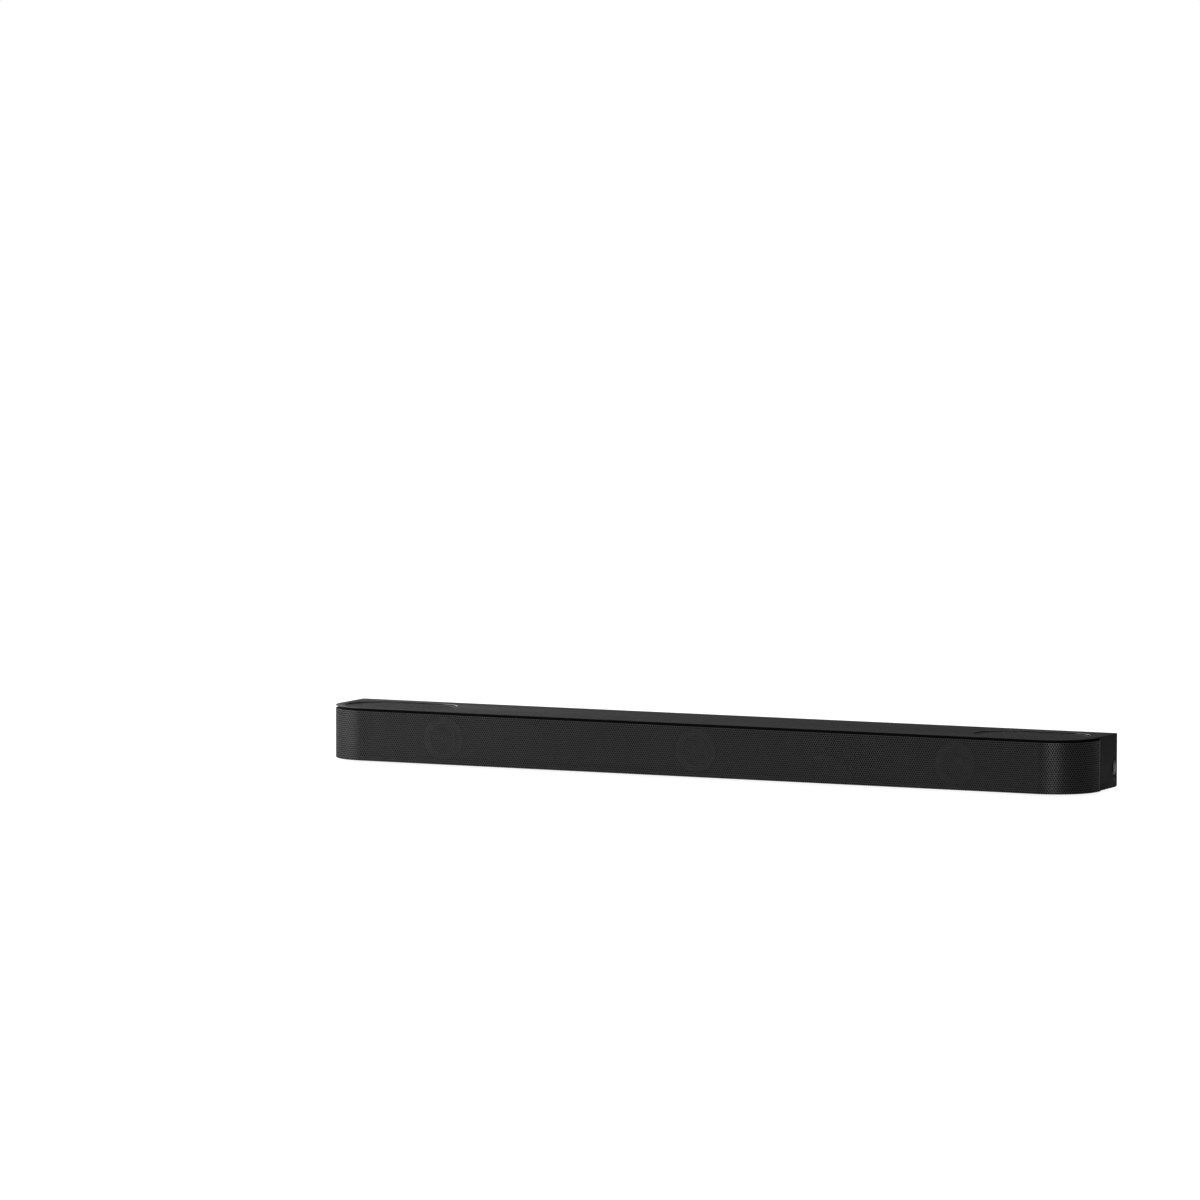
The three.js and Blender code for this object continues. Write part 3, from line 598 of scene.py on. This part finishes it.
def holed_tile(name, width, height, radius, rows):
    """A flat tile with a round hole. Its outline has the corners that the hole needs."""
    piece = flat_grid(name, width, height, rows)
    inside = lambda vertex: (
        abs(vertex.co.x) < 0.49 * width and abs(vertex.co.y) < 0.49 * height
    )
    pick(piece, "VERT", inside)
    bpy.ops.mesh.delete(type="VERT")
    bpy.ops.mesh.select_all(action="SELECT")
    bpy.ops.mesh.extrude_edges_move()
    mesh = bmesh.from_edit_mesh(piece.data)
    for vertex in mesh.verts:
        if vertex.select:
            vertex.co = vertex.co.normalized() * radius
    bmesh.update_edit_mesh(piece.data)
    return only(piece)


def joined(first, *others):
    """Joins pieces into the first one and merges the points that they share."""
    only(first)
    for other in others:
        other.select_set(True)
    bpy.ops.object.join()
    pick(first, "VERT", lambda vertex: True)
    bpy.ops.mesh.remove_doubles(threshold=0.01 * MM)
    return only(first)


def twin(piece, name, shift=(0, 0, 0), turn=(0, 0, 0)):
    """A copy with a mesh of its own, moved and turned."""
    copy = piece.copy()
    copy.data = piece.data.copy()
    bpy.context.scene.collection.objects.link(copy)
    copy.location, copy.rotation_euler = shift, turn
    return settle(copy, name)


def moved(piece, shift=(0, 0, 0), turn=(0, 0, 0)):
    """Moves and turns a piece and puts that into its mesh."""
    piece.location, piece.rotation_euler = shift, turn
    return settle(piece)


def repeated(piece, count, step):
    """Repeats a piece in a row and merges the points where the copies meet."""
    return apply_modifier(
        piece,
        "ARRAY",
        count=count,
        use_relative_offset=False,
        use_constant_offset=True,
        constant_offset_displace=step,
        use_merge_vertices=True,
        merge_threshold=0.01 * MM,
    )


def faces_up(piece):
    """Makes every face of a flat sheet face +Z, so that its thickness goes down from there."""
    if pick(piece, "FACE", lambda face: face.normal.z < 0):
        bpy.ops.mesh.flip_normals()
    return only(piece)


def perforated_sheet(name, columns, rows, width, height, radius, side_faces):
    """A sheet in X and Y from the origin, with staggered holes and straight edges."""
    column = holed_tile(name, width, height, radius, side_faces)
    repeated(column, rows, (0, height, 0))
    filler = flat_grid("filler", width, height / 2, side_faces // 2)
    joined(column, moved(filler, (0, (rows - 0.25) * height, 0)))
    middle = (rows - 0.5) * height / 2
    moved(column, (width / 2, -middle, 0))
    turned = twin(column, "turned", (2 * width, 0, 0), (0, 0, math.pi))
    joined(column, turned)
    return faces_up(repeated(column, columns // 2, (2 * width, 0, 0)))


# %% [markdown]
# ## The grille
# One steel sheet wraps the whole front. It is made flat, with plain margins all round, given its thickness
# and then bent round the outline, as a press brake would. In code the bend is exact: every point's
# distance along the sheet becomes a place on the outline, and its depth stays square to it. Its holes
# stand in rows, each half a step on from the next, so that every hole has six neighbours at the same
# distance. The rows come in four bands, only to keep each mesh of a size that opens easily.

# %% Sizes of the flat sheet
HOLE_PITCH = 2.77 * MM
HOLE_RADIUS = 1.1 * MM
ROW_STEP = 2.35 * MM
GRILLE_BANDS = (3, 3, 3, 3)      # pairs of rows in each band, from the lowest up
GRILLE_END_MARGIN = 2.5 * MM
grille_low, grille_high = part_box("front_grille")
side_run = SEAM_Y - (front_y + FRONT_CORNER)
corner_run = FRONT_CORNER * math.pi / 2
front_run = 2 * (end_x - FRONT_CORNER)
sheet_run = 2 * side_run + 2 * corner_run + front_run
holes_in_row = round((sheet_run - 2 * GRILLE_END_MARGIN) / HOLE_PITCH)
hole_step = (sheet_run - 2 * GRILLE_END_MARGIN) / (holes_in_row + 0.5)
margin = (grille_high.z - grille_low.z - 2 * sum(GRILLE_BANDS) * ROW_STEP) / 2
print(holes_in_row, f"holes in a row, {hole_step / MM:.2f} mm apart, margin {margin / MM:.2f} mm")


# %% Bending
def bent_round_front(piece):
    """Bends a flat sheet (its length along X, its depth along Y) round the bar's front outline."""
    for vertex in piece.data.vertices:
        run, depth, height = vertex.co
        sign = -1 if run < sheet_run / 2 else 1
        from_end = min(run, sheet_run - run)
        turn = min(max(from_end - side_run, 0) / FRONT_CORNER, math.pi / 2)
        radius = FRONT_CORNER - depth
        x = end_x - FRONT_CORNER + radius * math.cos(turn)
        y = front_y + FRONT_CORNER - radius * math.sin(turn)
        x -= max(from_end - side_run - corner_run, 0)
        y += max(side_run - from_end, 0)
        vertex.co = (sign * x, y, height)
    return piece


def drawn_out(piece, axis, value, distance):
    """Draws a flat sheet's edge out by a plain margin."""
    at_value = lambda vertex: near(vertex.co[axis], value, 0.02 * MM)
    pick(piece, "EDGE", lambda edge: all(at_value(vertex) for vertex in edge.verts))
    by = (distance, 0, 0) if axis == 0 else (0, distance, 0)
    bpy.ops.mesh.extrude_edges_move(TRANSFORM_OT_translate={"value": by})
    return only(piece)


# %% Four bands, bent round the front
band_low = grille_low.z + margin
for index, pairs in enumerate(GRILLE_BANDS):
    band = perforated_sheet(
        f"grille_band_{index + 1}", 2 * pairs, holes_in_row, ROW_STEP, hole_step, HOLE_RADIUS, 4
    )
    moved(band, (sheet_run / 2, band_low, 0), (0, 0, math.pi / 2))
    band_high = band_low + 2 * pairs * ROW_STEP
    drawn_out(band, 0, GRILLE_END_MARGIN, -GRILLE_END_MARGIN)
    drawn_out(band, 0, sheet_run - GRILLE_END_MARGIN, GRILLE_END_MARGIN)
    if index == 0:
        drawn_out(band, 1, band_low, -margin)
    if index == len(GRILLE_BANDS) - 1:
        drawn_out(band, 1, band_high, margin)
    faces_up(band)
    moved(band, turn=(math.pi / 2, 0, 0))
    apply_modifier(band, "SOLIDIFY", thickness=GRILLE_THICKNESS, offset=-1)
    bent_round_front(band)
    smooth(band, 25)
    keep(band, grille_steel, stands_for=["front_grille"])
    print(band.name, len(band.data.polygons), "faces")
    band_low = band_high

# %% Strips of black cloth inside the corners
# The cloth stops the view through the holes at the corners; its black paints the shade of the hollow behind
# the grille.
CLOTH_INSET, CLOTH = 0.85 * MM, 0.2 * MM
corner_start = end_x - FRONT_CORNER
for side, low_x, high_x in (("left", -corner_start, 1), ("right", -1, corner_start)):
    cloth = bar_slab(f"corner_cloth_{side}", CLOTH_INSET, grille_low.z + MM, grille_high.z - MM)
    cloth_inside = bar_slab("cloth_inside", CLOTH_INSET + CLOTH, 0, 1)
    cloth_beside = block("cloth_beside", (low_x, -1, 0), (high_x, 1, 1))
    cloth_behind = block("cloth_behind", (-1, SEAM_Y, 0), (1, 1, 1))
    carve(cloth, cloth_inside, cloth_beside, cloth_behind)
    smooth(cloth)
    keep(cloth, shade_black)
print("the cloth keeps daylight from shining through the corners")

# %% A black strip in the seam behind the grille, as painted shade for the seam's dark line
SEAM_STRIP_INSET, SEAM_STRIP_WALL = 0.1 * MM, 1.9 * MM
strip_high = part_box("rear_housing")[0].y
# The strip is black to paint the dark line of the seam between the grille and the rear shell.
seam_strip = bar_slab("seam_strip", SEAM_STRIP_INSET, grille_low.z, grille_high.z)
strip_inside = bar_slab("strip_inside", SEAM_STRIP_INSET + SEAM_STRIP_WALL, 0, 1)
strip_ahead = block("strip_ahead", (-1, -1, 0), (1, SEAM_Y, 1))
strip_behind = block("strip_behind", (-1, strip_high, 0), (1, 1, 1))
carve(seam_strip, strip_inside, strip_ahead, strip_behind)
smooth(seam_strip)
keep(seam_strip, shade_black)

# %% [markdown]
# ## The pod meshes
# Each pod is closed by a finer sheet in an oval frame. The same tile is used, much smaller. Faces outside
# the oval are deleted, and the frame's ring lies over the ragged edge, as a hemmed edge would.

# %% Pod sheets and frames
POD_RING = 3.2 * MM
POD_STEP = 2.2 * MM
POD_HOLE = 0.68 * MM
POD_SHEET = 0.35 * MM
POD_SINK = 0.3 * MM          # how far the sheet lies under the frame's top
POD_OVERLAP = 1.4 * MM       # how far inside the frame's outer edge the sheet ends
pod_columns = 2 * math.ceil((pod_high.x - pod_low.x) / POD_STEP / 2)
pod_rows = math.ceil((pod_high.y - pod_low.y) / POD_STEP)
pod_tile = perforated_sheet(
    "pod_tile", pod_columns, pod_rows, POD_STEP, POD_STEP, POD_HOLE, 2
)
for side in ("left", "right"):
    low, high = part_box(f"pod_mesh_{side}")
    middle = (low + high) / 2
    start = middle.x - pod_columns * POD_STEP / 2
    pod_sheet = twin(pod_tile, f"pod_sheet_{side}", (start, middle.y, high.z - POD_SINK))
    outside = lambda face: from_pod_axis(face.calc_center_median()) > pod_radius - POD_OVERLAP
    pick(pod_sheet, "FACE", outside)
    bpy.ops.mesh.delete(type="FACE")
    apply_modifier(pod_sheet, "SOLIDIFY", thickness=POD_SHEET, offset=-1)
    keep(pod_sheet, pod_mesh_finish)
    ring = pod_pill(f"pod_frame_{side}", side, 0, low.z, high.z, 64)
    carve(ring, pod_pill("inside", side, -POD_RING, low.z - MM, high.z + MM, 64))
    soften(ring, 0.2 * MM)
    keep(ring, pod_mesh_finish, stands_for=[f"pod_mesh_{side}"])
    print(side, "pod sheet has", len(pod_sheet.data.polygons), "faces")
bpy.data.objects.remove(pod_tile)

# %% [markdown]
# ## The rear housing
# Behind the seam the casing is one plain moulding: a U-shaped wall with small corner radii, open at the
# top, where the top panel covers it, and at the bottom, where the base plate goes in. It is a block that
# is rounded, hollowed and then cut for what shows in it: two connector bays, two keyholes for hanging
# the bar on a wall, and the oval of the side port.

# %% Shell
SHELL_WALL = 2.5 * MM
SHELL_LOW_EDGE, SHELL_HIGH_EDGE = 0.5 * MM, 0.3 * MM
shell_low, shell_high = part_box("rear_housing")
rear_shell = block("rear_shell", shell_low, shell_high)
far_upright = lambda edge: lies_along(edge, 2) and near(edge.verts[0].co.y, rear_y)
round_edges(rear_shell, far_upright, REAR_CORNER, 8)
seam_face = lambda face: face.normal.y < -0.9
not_seam = lambda edge: not any(seam_face(face) for face in edge.link_faces)
round_edges(
    rear_shell,
    lambda edge: not_seam(edge) and all(near(v.co.z, shell_low.z) for v in edge.verts),
    SHELL_LOW_EDGE,
    3,
)
round_edges(
    rear_shell,
    lambda edge: not_seam(edge) and all(near(v.co.z, shell_high.z) for v in edge.verts),
    SHELL_HIGH_EDGE,
    2,
)
hollow_low = (shell_low.x + SHELL_WALL, shell_low.y - MM, shell_low.z - MM)
hollow_high = (shell_high.x - SHELL_WALL, rear_y - SHELL_WALL, shell_high.z + MM)
carve(rear_shell, block("hollow", hollow_low, hollow_high))

# %% Cuts through the shell
BAY_WALL = 2 * MM
PORT_GAP = 0.3 * MM
for bay in ("signal_bay", "power_bay"):
    low, high = grown(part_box(bay), -BAY_WALL, 0, -BAY_WALL)
    carve(rear_shell, block("bay_cut", (low.x, high.y - MM, low.z), (high.x, rear_y + MM, high.z)))
cup_low, cup_high = grown(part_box("side_port_bezel"), 0, PORT_GAP, PORT_GAP)
cup_low.x, cup_high.x = end_x - 6 * MM, end_x + MM
carve(rear_shell, pill("port_cut", cup_low, cup_high, 0, 16))
KEYHOLE_HEAD, KEYHOLE_SLOT = 4.8 * MM, 2.4 * MM
KEYHOLE_HEAD_Z, KEYHOLE_TOP_Z = 30 * MM, 40 * MM
for side in ("left", "right"):
    low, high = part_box(f"wall_plate_{side}")
    x = (low.x + high.x) / 2
    depth = rear_y - 4 * MM
    head = rod("head", (x, depth, KEYHOLE_HEAD_Z), KEYHOLE_HEAD, 12 * MM, 1)
    slot_low = (x - KEYHOLE_SLOT, depth - 6 * MM, KEYHOLE_HEAD_Z - KEYHOLE_SLOT)
    slot_high = (x + KEYHOLE_SLOT, depth + 6 * MM, KEYHOLE_TOP_Z + KEYHOLE_SLOT)
    carve(rear_shell, head, pill("slot", slot_low, slot_high, 1, 12))
soften(rear_shell, 0.15 * MM, 1, 50)
keep(rear_shell, housing_plastic, stands_for=["rear_housing"])
print("the rear shell has", len(rear_shell.data.polygons), "faces")

# %% [markdown]
# ## Base, screws and feet
# Underneath, a flat plate closes the casing. It has a counterbore round each screw and a shallow seat for
# each rubber foot, so that a foot can't slide sideways. The plate follows the outline a little inside the
# grille, and a thinner flange round it closes the gap under the casing.

# %% Base
BASE_INSET, BASE_EDGE = 2.8 * MM, 0.4 * MM
FOOT_SEAT = 0.5 * MM
FLANGE_INSET, FLANGE_LAP = GRILLE_THICKNESS + 0.3 * MM, 0.5 * MM
SCREW_SINK = 2.8 * MM
feet = [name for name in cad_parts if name.startswith("foot_")]
screws = [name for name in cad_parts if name.startswith("base_screw_")]
plate_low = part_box("base_plate")[0]
base_pan = bar_slab("base_pan", BASE_INSET, plate_low.z, plate_low.z + SHELL_WALL, 32)
flange = bar_slab("flange", FLANGE_INSET, plate_low.z, shell_low.z + FLANGE_LAP, 32)
carve(base_pan, flange, how="UNION")
bottom = lambda edge: all(near(v.co.z, plate_low.z) for v in edge.verts)
sharp = lambda edge: bottom(edge) and edge.calc_face_angle(0) > math.radians(60)
round_edges(base_pan, sharp, BASE_EDGE, 2)
for name in feet:
    low, high = grown(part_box(name), 0.2 * MM, 0.2 * MM)
    seat = (high.x, high.y, plate_low.z + FOOT_SEAT)
    carve(base_pan, pill("seat", (low.x, low.y, 0), seat, 2, 12))
for name in screws:
    low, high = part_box(name)
    centre = ((low.x + high.x) / 2, (low.y + high.y) / 2, plate_low.z)
    radius = (high.x - low.x) / 2 + 0.3 * MM
    carve(base_pan, rod("counterbore", centre, radius, SCREW_SINK, 2, 32))
smooth(base_pan)
keep(base_pan, housing_plastic, stands_for=["base_plate"])

# %% Feet
SOLE_RIM, SOLE_DISH = 1.9 * MM, 0.3 * MM
for name in feet:
    low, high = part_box(name)
    high.z = plate_low.z + FOOT_SEAT
    foot = pill(f"{name}_pad", low, high, 2, 16)
    sole = lambda edge: all(near(v.co.z, low.z) for v in edge.verts)
    round_edges(foot, sole, 0.6 * MM, 3)
    dish_low, dish_high = grown((low, high), -SOLE_RIM, -SOLE_RIM)
    dish_low.z, dish_high.z = low.z - MM, low.z + SOLE_DISH
    carve(foot, pill("dish", dish_low, dish_high, 2, 16))
    smooth(foot)
    keep(foot, foot_rubber, stands_for=[name])
print(len(feet), "feet")

# %% [markdown]
# ## The side port
# Near the rear of the right-hand end an upright oval cup holds a small socket. The cup is one moulding, set
# flush in the wall. It is made by rounding a block and carving a slightly smaller oval into it, then a slot
# for the socket. Part of its rear wall is smooth and painted pale where the light falls on it, a painted
# highlight, and the rest of the inside is painted black as shade.

# %% Cup
CUP_RIM = 1.0 * MM
SOCKET_GAP = 0.3 * MM
cup_low, cup_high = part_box("side_port_bezel")
socket_low, socket_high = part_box("side_port")
port_cup = pill("port_cup", cup_low, cup_high, 0, 24)
inner_low, inner_high = grown((cup_low, cup_high), 0, -CUP_RIM, -CUP_RIM)
inner_low.x, inner_high.x = socket_high.x, end_x + MM
carve(port_cup, pill("inner", inner_low, inner_high, 0, 24))
slot_low, slot_high = grown((socket_low, socket_high), MM, SOCKET_GAP, SOCKET_GAP)
carve(port_cup, block("slot", slot_low, slot_high))
soften(port_cup, 0.18 * MM, 2, 50)
keep(port_cup, housing_plastic, stands_for=["side_port_bezel"])
port_cup.data.materials.append(cup_highlight_paint)
port_cup.data.materials.append(shade_black)

# Only the outer part of the cup's rear wall, where the front light falls, is pale: a painted highlight.
# The rest of the inside is black: painted shade.
PALE_DEPTH = 1.9 * MM
pick(port_cup, "VERT", lambda vertex: True)
bpy.ops.mesh.bisect(plane_co=(end_x - PALE_DEPTH, 0, 0), plane_no=(1, 0, 0))
only(port_cup)
cup_middle = (cup_low + cup_high) / 2
for face in port_cup.data.polygons:
    inside = face.center.x < end_x - 0.1 * MM
    shallow = face.center.x > end_x - PALE_DEPTH and face.center.y > cup_middle.y
    face.material_index = (1 if shallow else 2) if inside else 0

# %% Socket shell, tongue and contacts
SHELL_SHEET = 0.5 * MM


def open_shell(name, corners, axis, sheet, depth, corner_radius):
    """A sheet-metal socket: a closed box whose mouth is pushed in, leaving its walls."""
    piece = block(name, *corners)
    round_edges(piece, lambda edge: lies_along(edge, axis), corner_radius, 3)
    pick(piece, "FACE", lambda face: face.normal[axis] > 0.9)
    bpy.ops.mesh.inset(thickness=sheet, depth=0)
    push = [0, 0, 0]
    push[axis] = -depth
    bpy.ops.mesh.extrude_region_move(TRANSFORM_OT_translate={"value": push})
    only(piece)
    return smooth(piece)


shell_depth = socket_high.x - socket_low.x - 2 * MM
port_shell = open_shell("port_shell", (socket_low, socket_high), 0, SHELL_SHEET, shell_depth, 0.5 * MM)
keep(port_shell, black_screw, stands_for=["side_port"])
port_middle = (socket_low + socket_high) / 2
tongue_low = (socket_low.x + MM, port_middle.y + 0.2 * MM, port_middle.z - 5.2 * MM)
tongue_high = (socket_high.x - 1.5 * MM, port_middle.y + 1.6 * MM, port_middle.z + 5.2 * MM)
port_tongue = block("port_tongue", tongue_low, tongue_high)
soften(port_tongue, 0.2 * MM)
keep(port_tongue, socket_plastic)
contact_face = tongue_low[1]
contact = block(
    "contact",
    (tongue_high[0] - 8 * MM, contact_face - 0.08 * MM, -0.5 * MM),
    (tongue_high[0] - 0.8 * MM, contact_face + 0.05 * MM, 0.5 * MM),
)
contacts = [
    twin(contact, f"contact_{index}", (0, 0, port_middle.z + (index - 1.5) * 2.4 * MM))
    for index in range(4)
]
port_contacts = joined(*contacts)
port_contacts.name = port_contacts.data.name = "port_contacts"
soften(port_contacts, 0.04 * MM, 1)
keep(port_contacts, gilt)
bpy.data.objects.remove(contact)

# %% A plain printed ring under the port
RING_RADIUS, RING_LINE, INK = 1.7 * MM, 0.45 * MM, 0.03 * MM
RING_HEIGHT = 12.2 * MM
ring_centre = Vector((end_x, port_middle.y, RING_HEIGHT))
port_ring = rod("port_ring", ring_centre, RING_RADIUS, 2 * INK, 0, 40)
inner_disc = rod("inner_disc", ring_centre, RING_RADIUS - RING_LINE, 1 * MM, 0, 40)
carve(port_ring, inner_disc)
smooth(port_ring)
keep(port_ring, pale_ink)

# %% [markdown]
# ## Connectors at the back
# Two trays are let into the back. Each holds its sockets a little way in, so that plugs don't stand out
# from the wall. The trays and the square fibre socket already have the right shape, so copies of them only
# get eased edges. The two video sockets and the mains inlet are made afresh, with finer mouths.

# %% Trays and fibre socket
for tray in ("signal_bay", "power_bay"):
    keep(softened(tray, 0.35 * MM), housing_plastic, stands_for=[tray])
fibre = softened("optical_port", 0.25 * MM)
keep(fibre, socket_plastic, stands_for=["optical_port"])
door = softened("optical_shutter", 0.12 * MM)
keep(door, socket_plastic, body="optical_shutter", stands_for=["optical_shutter"])

# %% Video sockets
for name in ("video_out_port", "video_in_port"):
    low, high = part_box(name)
    depth = high.y - low.y - 2 * MM
    shell = block(f"{name}_shell", low, high)
    lower = lambda edge: lies_along(edge, 1) and near(edge.verts[0].co.z, low.z)
    round_edges(shell, lower, 1.7 * MM, 1)
    round_edges(shell, lambda edge: lies_along(edge, 1), 0.4 * MM, 2)
    pick(shell, "FACE", lambda face: face.normal.y > 0.9)
    bpy.ops.mesh.inset(thickness=SHELL_SHEET, depth=0)
    bpy.ops.mesh.extrude_region_move(TRANSFORM_OT_translate={"value": (0, -depth, 0)})
    only(shell)
    smooth(shell)
    keep(shell, socket_metal, stands_for=[name])
    middle = (low + high) / 2
    bar_corners = (
        (middle.x - 5.5 * MM, low.y + MM, middle.z - 0.6 * MM),
        (middle.x + 5.5 * MM, high.y - 4.6 * MM, middle.z + 0.6 * MM),
    )
    tongue = block(f"{name}_tongue", *bar_corners)
    soften(tongue, 0.15 * MM)
    keep(tongue, socket_plastic)

# %% Mains inlet
PIN_SPREAD, WELL_RADIUS, PIN_RADIUS = 4.3 * MM, 4.3 * MM, 1.2 * MM
low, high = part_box("mains_inlet")
middle = (low + high) / 2
inlet = block("inlet_body", low, high)
round_edges(inlet, lambda edge: lies_along(edge, 1), 2.0 * MM, 4)
for sign in (-1, 1):
    place = (middle.x + sign * PIN_SPREAD, high.y - 6.5 * MM, middle.z)
    carve(inlet, rod("well", place, WELL_RADIUS, 15 * MM, 1, 40))
waist_low = (middle.x - PIN_SPREAD, high.y - 14 * MM, middle.z - 3.4 * MM)
waist_high = (middle.x + PIN_SPREAD, high.y + MM, middle.z + 3.4 * MM)
carve(inlet, block("waist", waist_low, waist_high))
soften(inlet, 0.3 * MM, 2, 50)
keep(inlet, socket_plastic, stands_for=["mains_inlet"])
for side, sign in (("left", -1), ("right", 1)):
    place = (middle.x + sign * PIN_SPREAD, high.y - 9 * MM, middle.z)
    pin = rod(f"inlet_pin_{side}", place, PIN_RADIUS, 12 * MM, 1, 24)
    tip = lambda edge: all(near(v.co.y, place[1] + 6 * MM) for v in edge.verts)
    round_edges(pin, tip, 0.7 * MM, 3)
    smooth(pin)
    keep(pin, socket_metal)

# %% [markdown]
# ## Drivers
# A loudspeaker is round all over, so each part of it is a profile turned about the axis. The profiles are
# drawn as points with a radius and a height, where height 0 is the baffle's face, and the Screw modifier
# turns them. One driver of each kind is made and then copied to its five places. The cone rides on its
# own body, so that it can travel without the basket.

# %% Turned pieces
TURN_STEPS = 64
SHARP_TURN = 35      # degrees between faces that stay sharp


def turned(name, profile):
    """Turns a profile of (radius, height) points, in mm, round the Z axis."""
    bpy.ops.object.select_all(action="DESELECT")
    bpy.ops.mesh.primitive_circle_add(vertices=len(profile), radius=MM)
    piece = bpy.context.object
    piece.name = piece.data.name = name
    for vertex, (radius, height) in zip(piece.data.vertices, profile):
        vertex.co = (radius * MM, 0, height * MM)
    apply_modifier(
        piece,
        "SCREW",
        steps=TURN_STEPS,
        render_steps=TURN_STEPS,
        use_merge_vertices=True,
        merge_threshold=0.001 * MM,
    )
    pick(piece, "VERT", lambda vertex: True)
    bpy.ops.mesh.remove_doubles(threshold=0.001 * MM)
    bpy.ops.mesh.normals_make_consistent(inside=False)
    return only(piece)


basket = turned("basket", [
    (24.0, 0.3), (24.0, 1.5), (23.7, 1.8), (19.0, 1.8), (18.6, 1.5), (18.6, -4.0),
    (12.3, -14.6), (10.2, -14.6), (10.2, -16.0), (13.8, -16.0), (20.3, -4.4), (20.3, 0.3),
])
for angle in (30, 90, 150):
    window = block("window", (-5.5 * MM, -26 * MM, -13.4 * MM), (5.5 * MM, 26 * MM, -5 * MM))
    moved(window, turn=(0, 0, math.radians(angle)))
    carve(basket, window)
for angle in (0, 90, 180, 270):
    turn = math.radians(angle + 45)
    place = (22.2 * MM * math.cos(turn), 22.2 * MM * math.sin(turn), 1.9 * MM)
    rivet = rod("rivet", place, 1.1 * MM, 0.6 * MM, 2, 16)
    carve(basket, rivet, how="UNION")
smooth(basket, SHARP_TURN)
magnet = turned("magnet", [
    (0, -30.0), (17.0, -30.0), (17.5, -29.5), (17.5, -27.2), (16.6, -26.9), (16.6, -20.4),
    (17.5, -20.1), (17.5, -17.0), (16.8, -16.3), (8.6, -16.3), (8.6, -27.0), (6.6, -27.0),
    (6.6, -16.3), (0, -16.3),
])
smooth(magnet, SHARP_TURN)
cone = turned("cone", [
    (0, -5.3), (3.4, -5.9), (7.3, -8.4), (7.3, -23.3), (7.9, -23.3), (7.9, -8.6), (15.1, -1.2),
    (15.5, 0.4), (15.9, 0.8), (16.5, 1.0), (17.1, 0.6), (17.5, -0.4), (18.3, -0.4), (18.3, 0.4),
    (17.9, 1.2), (17.3, 1.7), (16.5, 1.9), (15.7, 1.7), (15.1, 1.2), (14.3, -0.6), (11.0, -4.0),
    (7.2, -7.4), (6.6, -7.3), (5.2, -5.6), (3.6, -4.9), (1.8, -4.5), (0, -4.4),
])
smooth(cone, SHARP_TURN)
print("one driver has", sum(len(part.data.polygons) for part in (basket, magnet, cone)), "faces")

# %% Five drivers in their places
UPFIRE_SETBACK, UPFIRE_DROP = 5 * MM, 14.5 * MM
UPFIRE_TILT = math.radians(12)
DRIVER_SETBACK = 9 * MM
forward = {"left_driver", "centre_driver", "right_driver"}
for name in ("left_driver", "centre_driver", "right_driver", "upfire_left", "upfire_right"):
    low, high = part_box(f"{name}_magnet")
    middle = (low + high) / 2
    if name in forward:
        place = (middle.x, front_y + DRIVER_SETBACK, middle.z)
        turn = (math.pi / 2, 0, 0)
    else:
        pod = sum(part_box(name.replace("upfire", "pod_mesh")), Vector()) / 2
        place = (pod.x, pod.y + UPFIRE_SETBACK, top_z - UPFIRE_DROP)
        turn = (UPFIRE_TILT, 0, 0)
    parts = {"basket": (basket, basket_paint, "basket_steel"),
             "magnet": (magnet, ferrite, "magnet"),
             "cone": (cone, cone_paper, "cone")}
    for part, (model, finish, slot) in parts.items():
        piece = twin(model, f"{name}_{part}_turned", place, turn)
        smooth(piece, SHARP_TURN)
        body = f"{name}_cone" if part == "cone" else "root"
        keep(piece, finish, body, [f"{name}_{part}"])
for model in (basket, magnet, cone):
    bpy.data.objects.remove(model)

# %% [markdown]
# ## What stays as it came
# The pieces inside the casing have the right shape already and are hardly seen. They keep their meshes and
# only get finishes.

# %% Finishes for the remaining pieces
rest = {
    "front_chassis": chassis_plastic,
    "upfire_bracket_left": chassis_plastic,
    "upfire_bracket_right": chassis_plastic,
    "main_board": circuit_board,
    "power_board": circuit_board,
    "wireless_card": circuit_board,
    "touch_board": circuit_board,
    "indicator_board": black_board,
    "heat_sink": bare_aluminium,
    "indicator_lens": smoked_lens,
    "speaker_cable_left": cable_jacket,
    "speaker_cable_right": cable_jacket,
    "side_port_cable": cable_jacket,
    "wall_plate_left": zinc_steel,
    "wall_plate_right": zinc_steel,
}
rest.update({name: black_screw for name in screws})
for name, finish in rest.items():
    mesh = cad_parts[name].data
    mesh.materials.clear()
    mesh.materials.append(finish)
print(len(rest), "pieces keep their meshes")
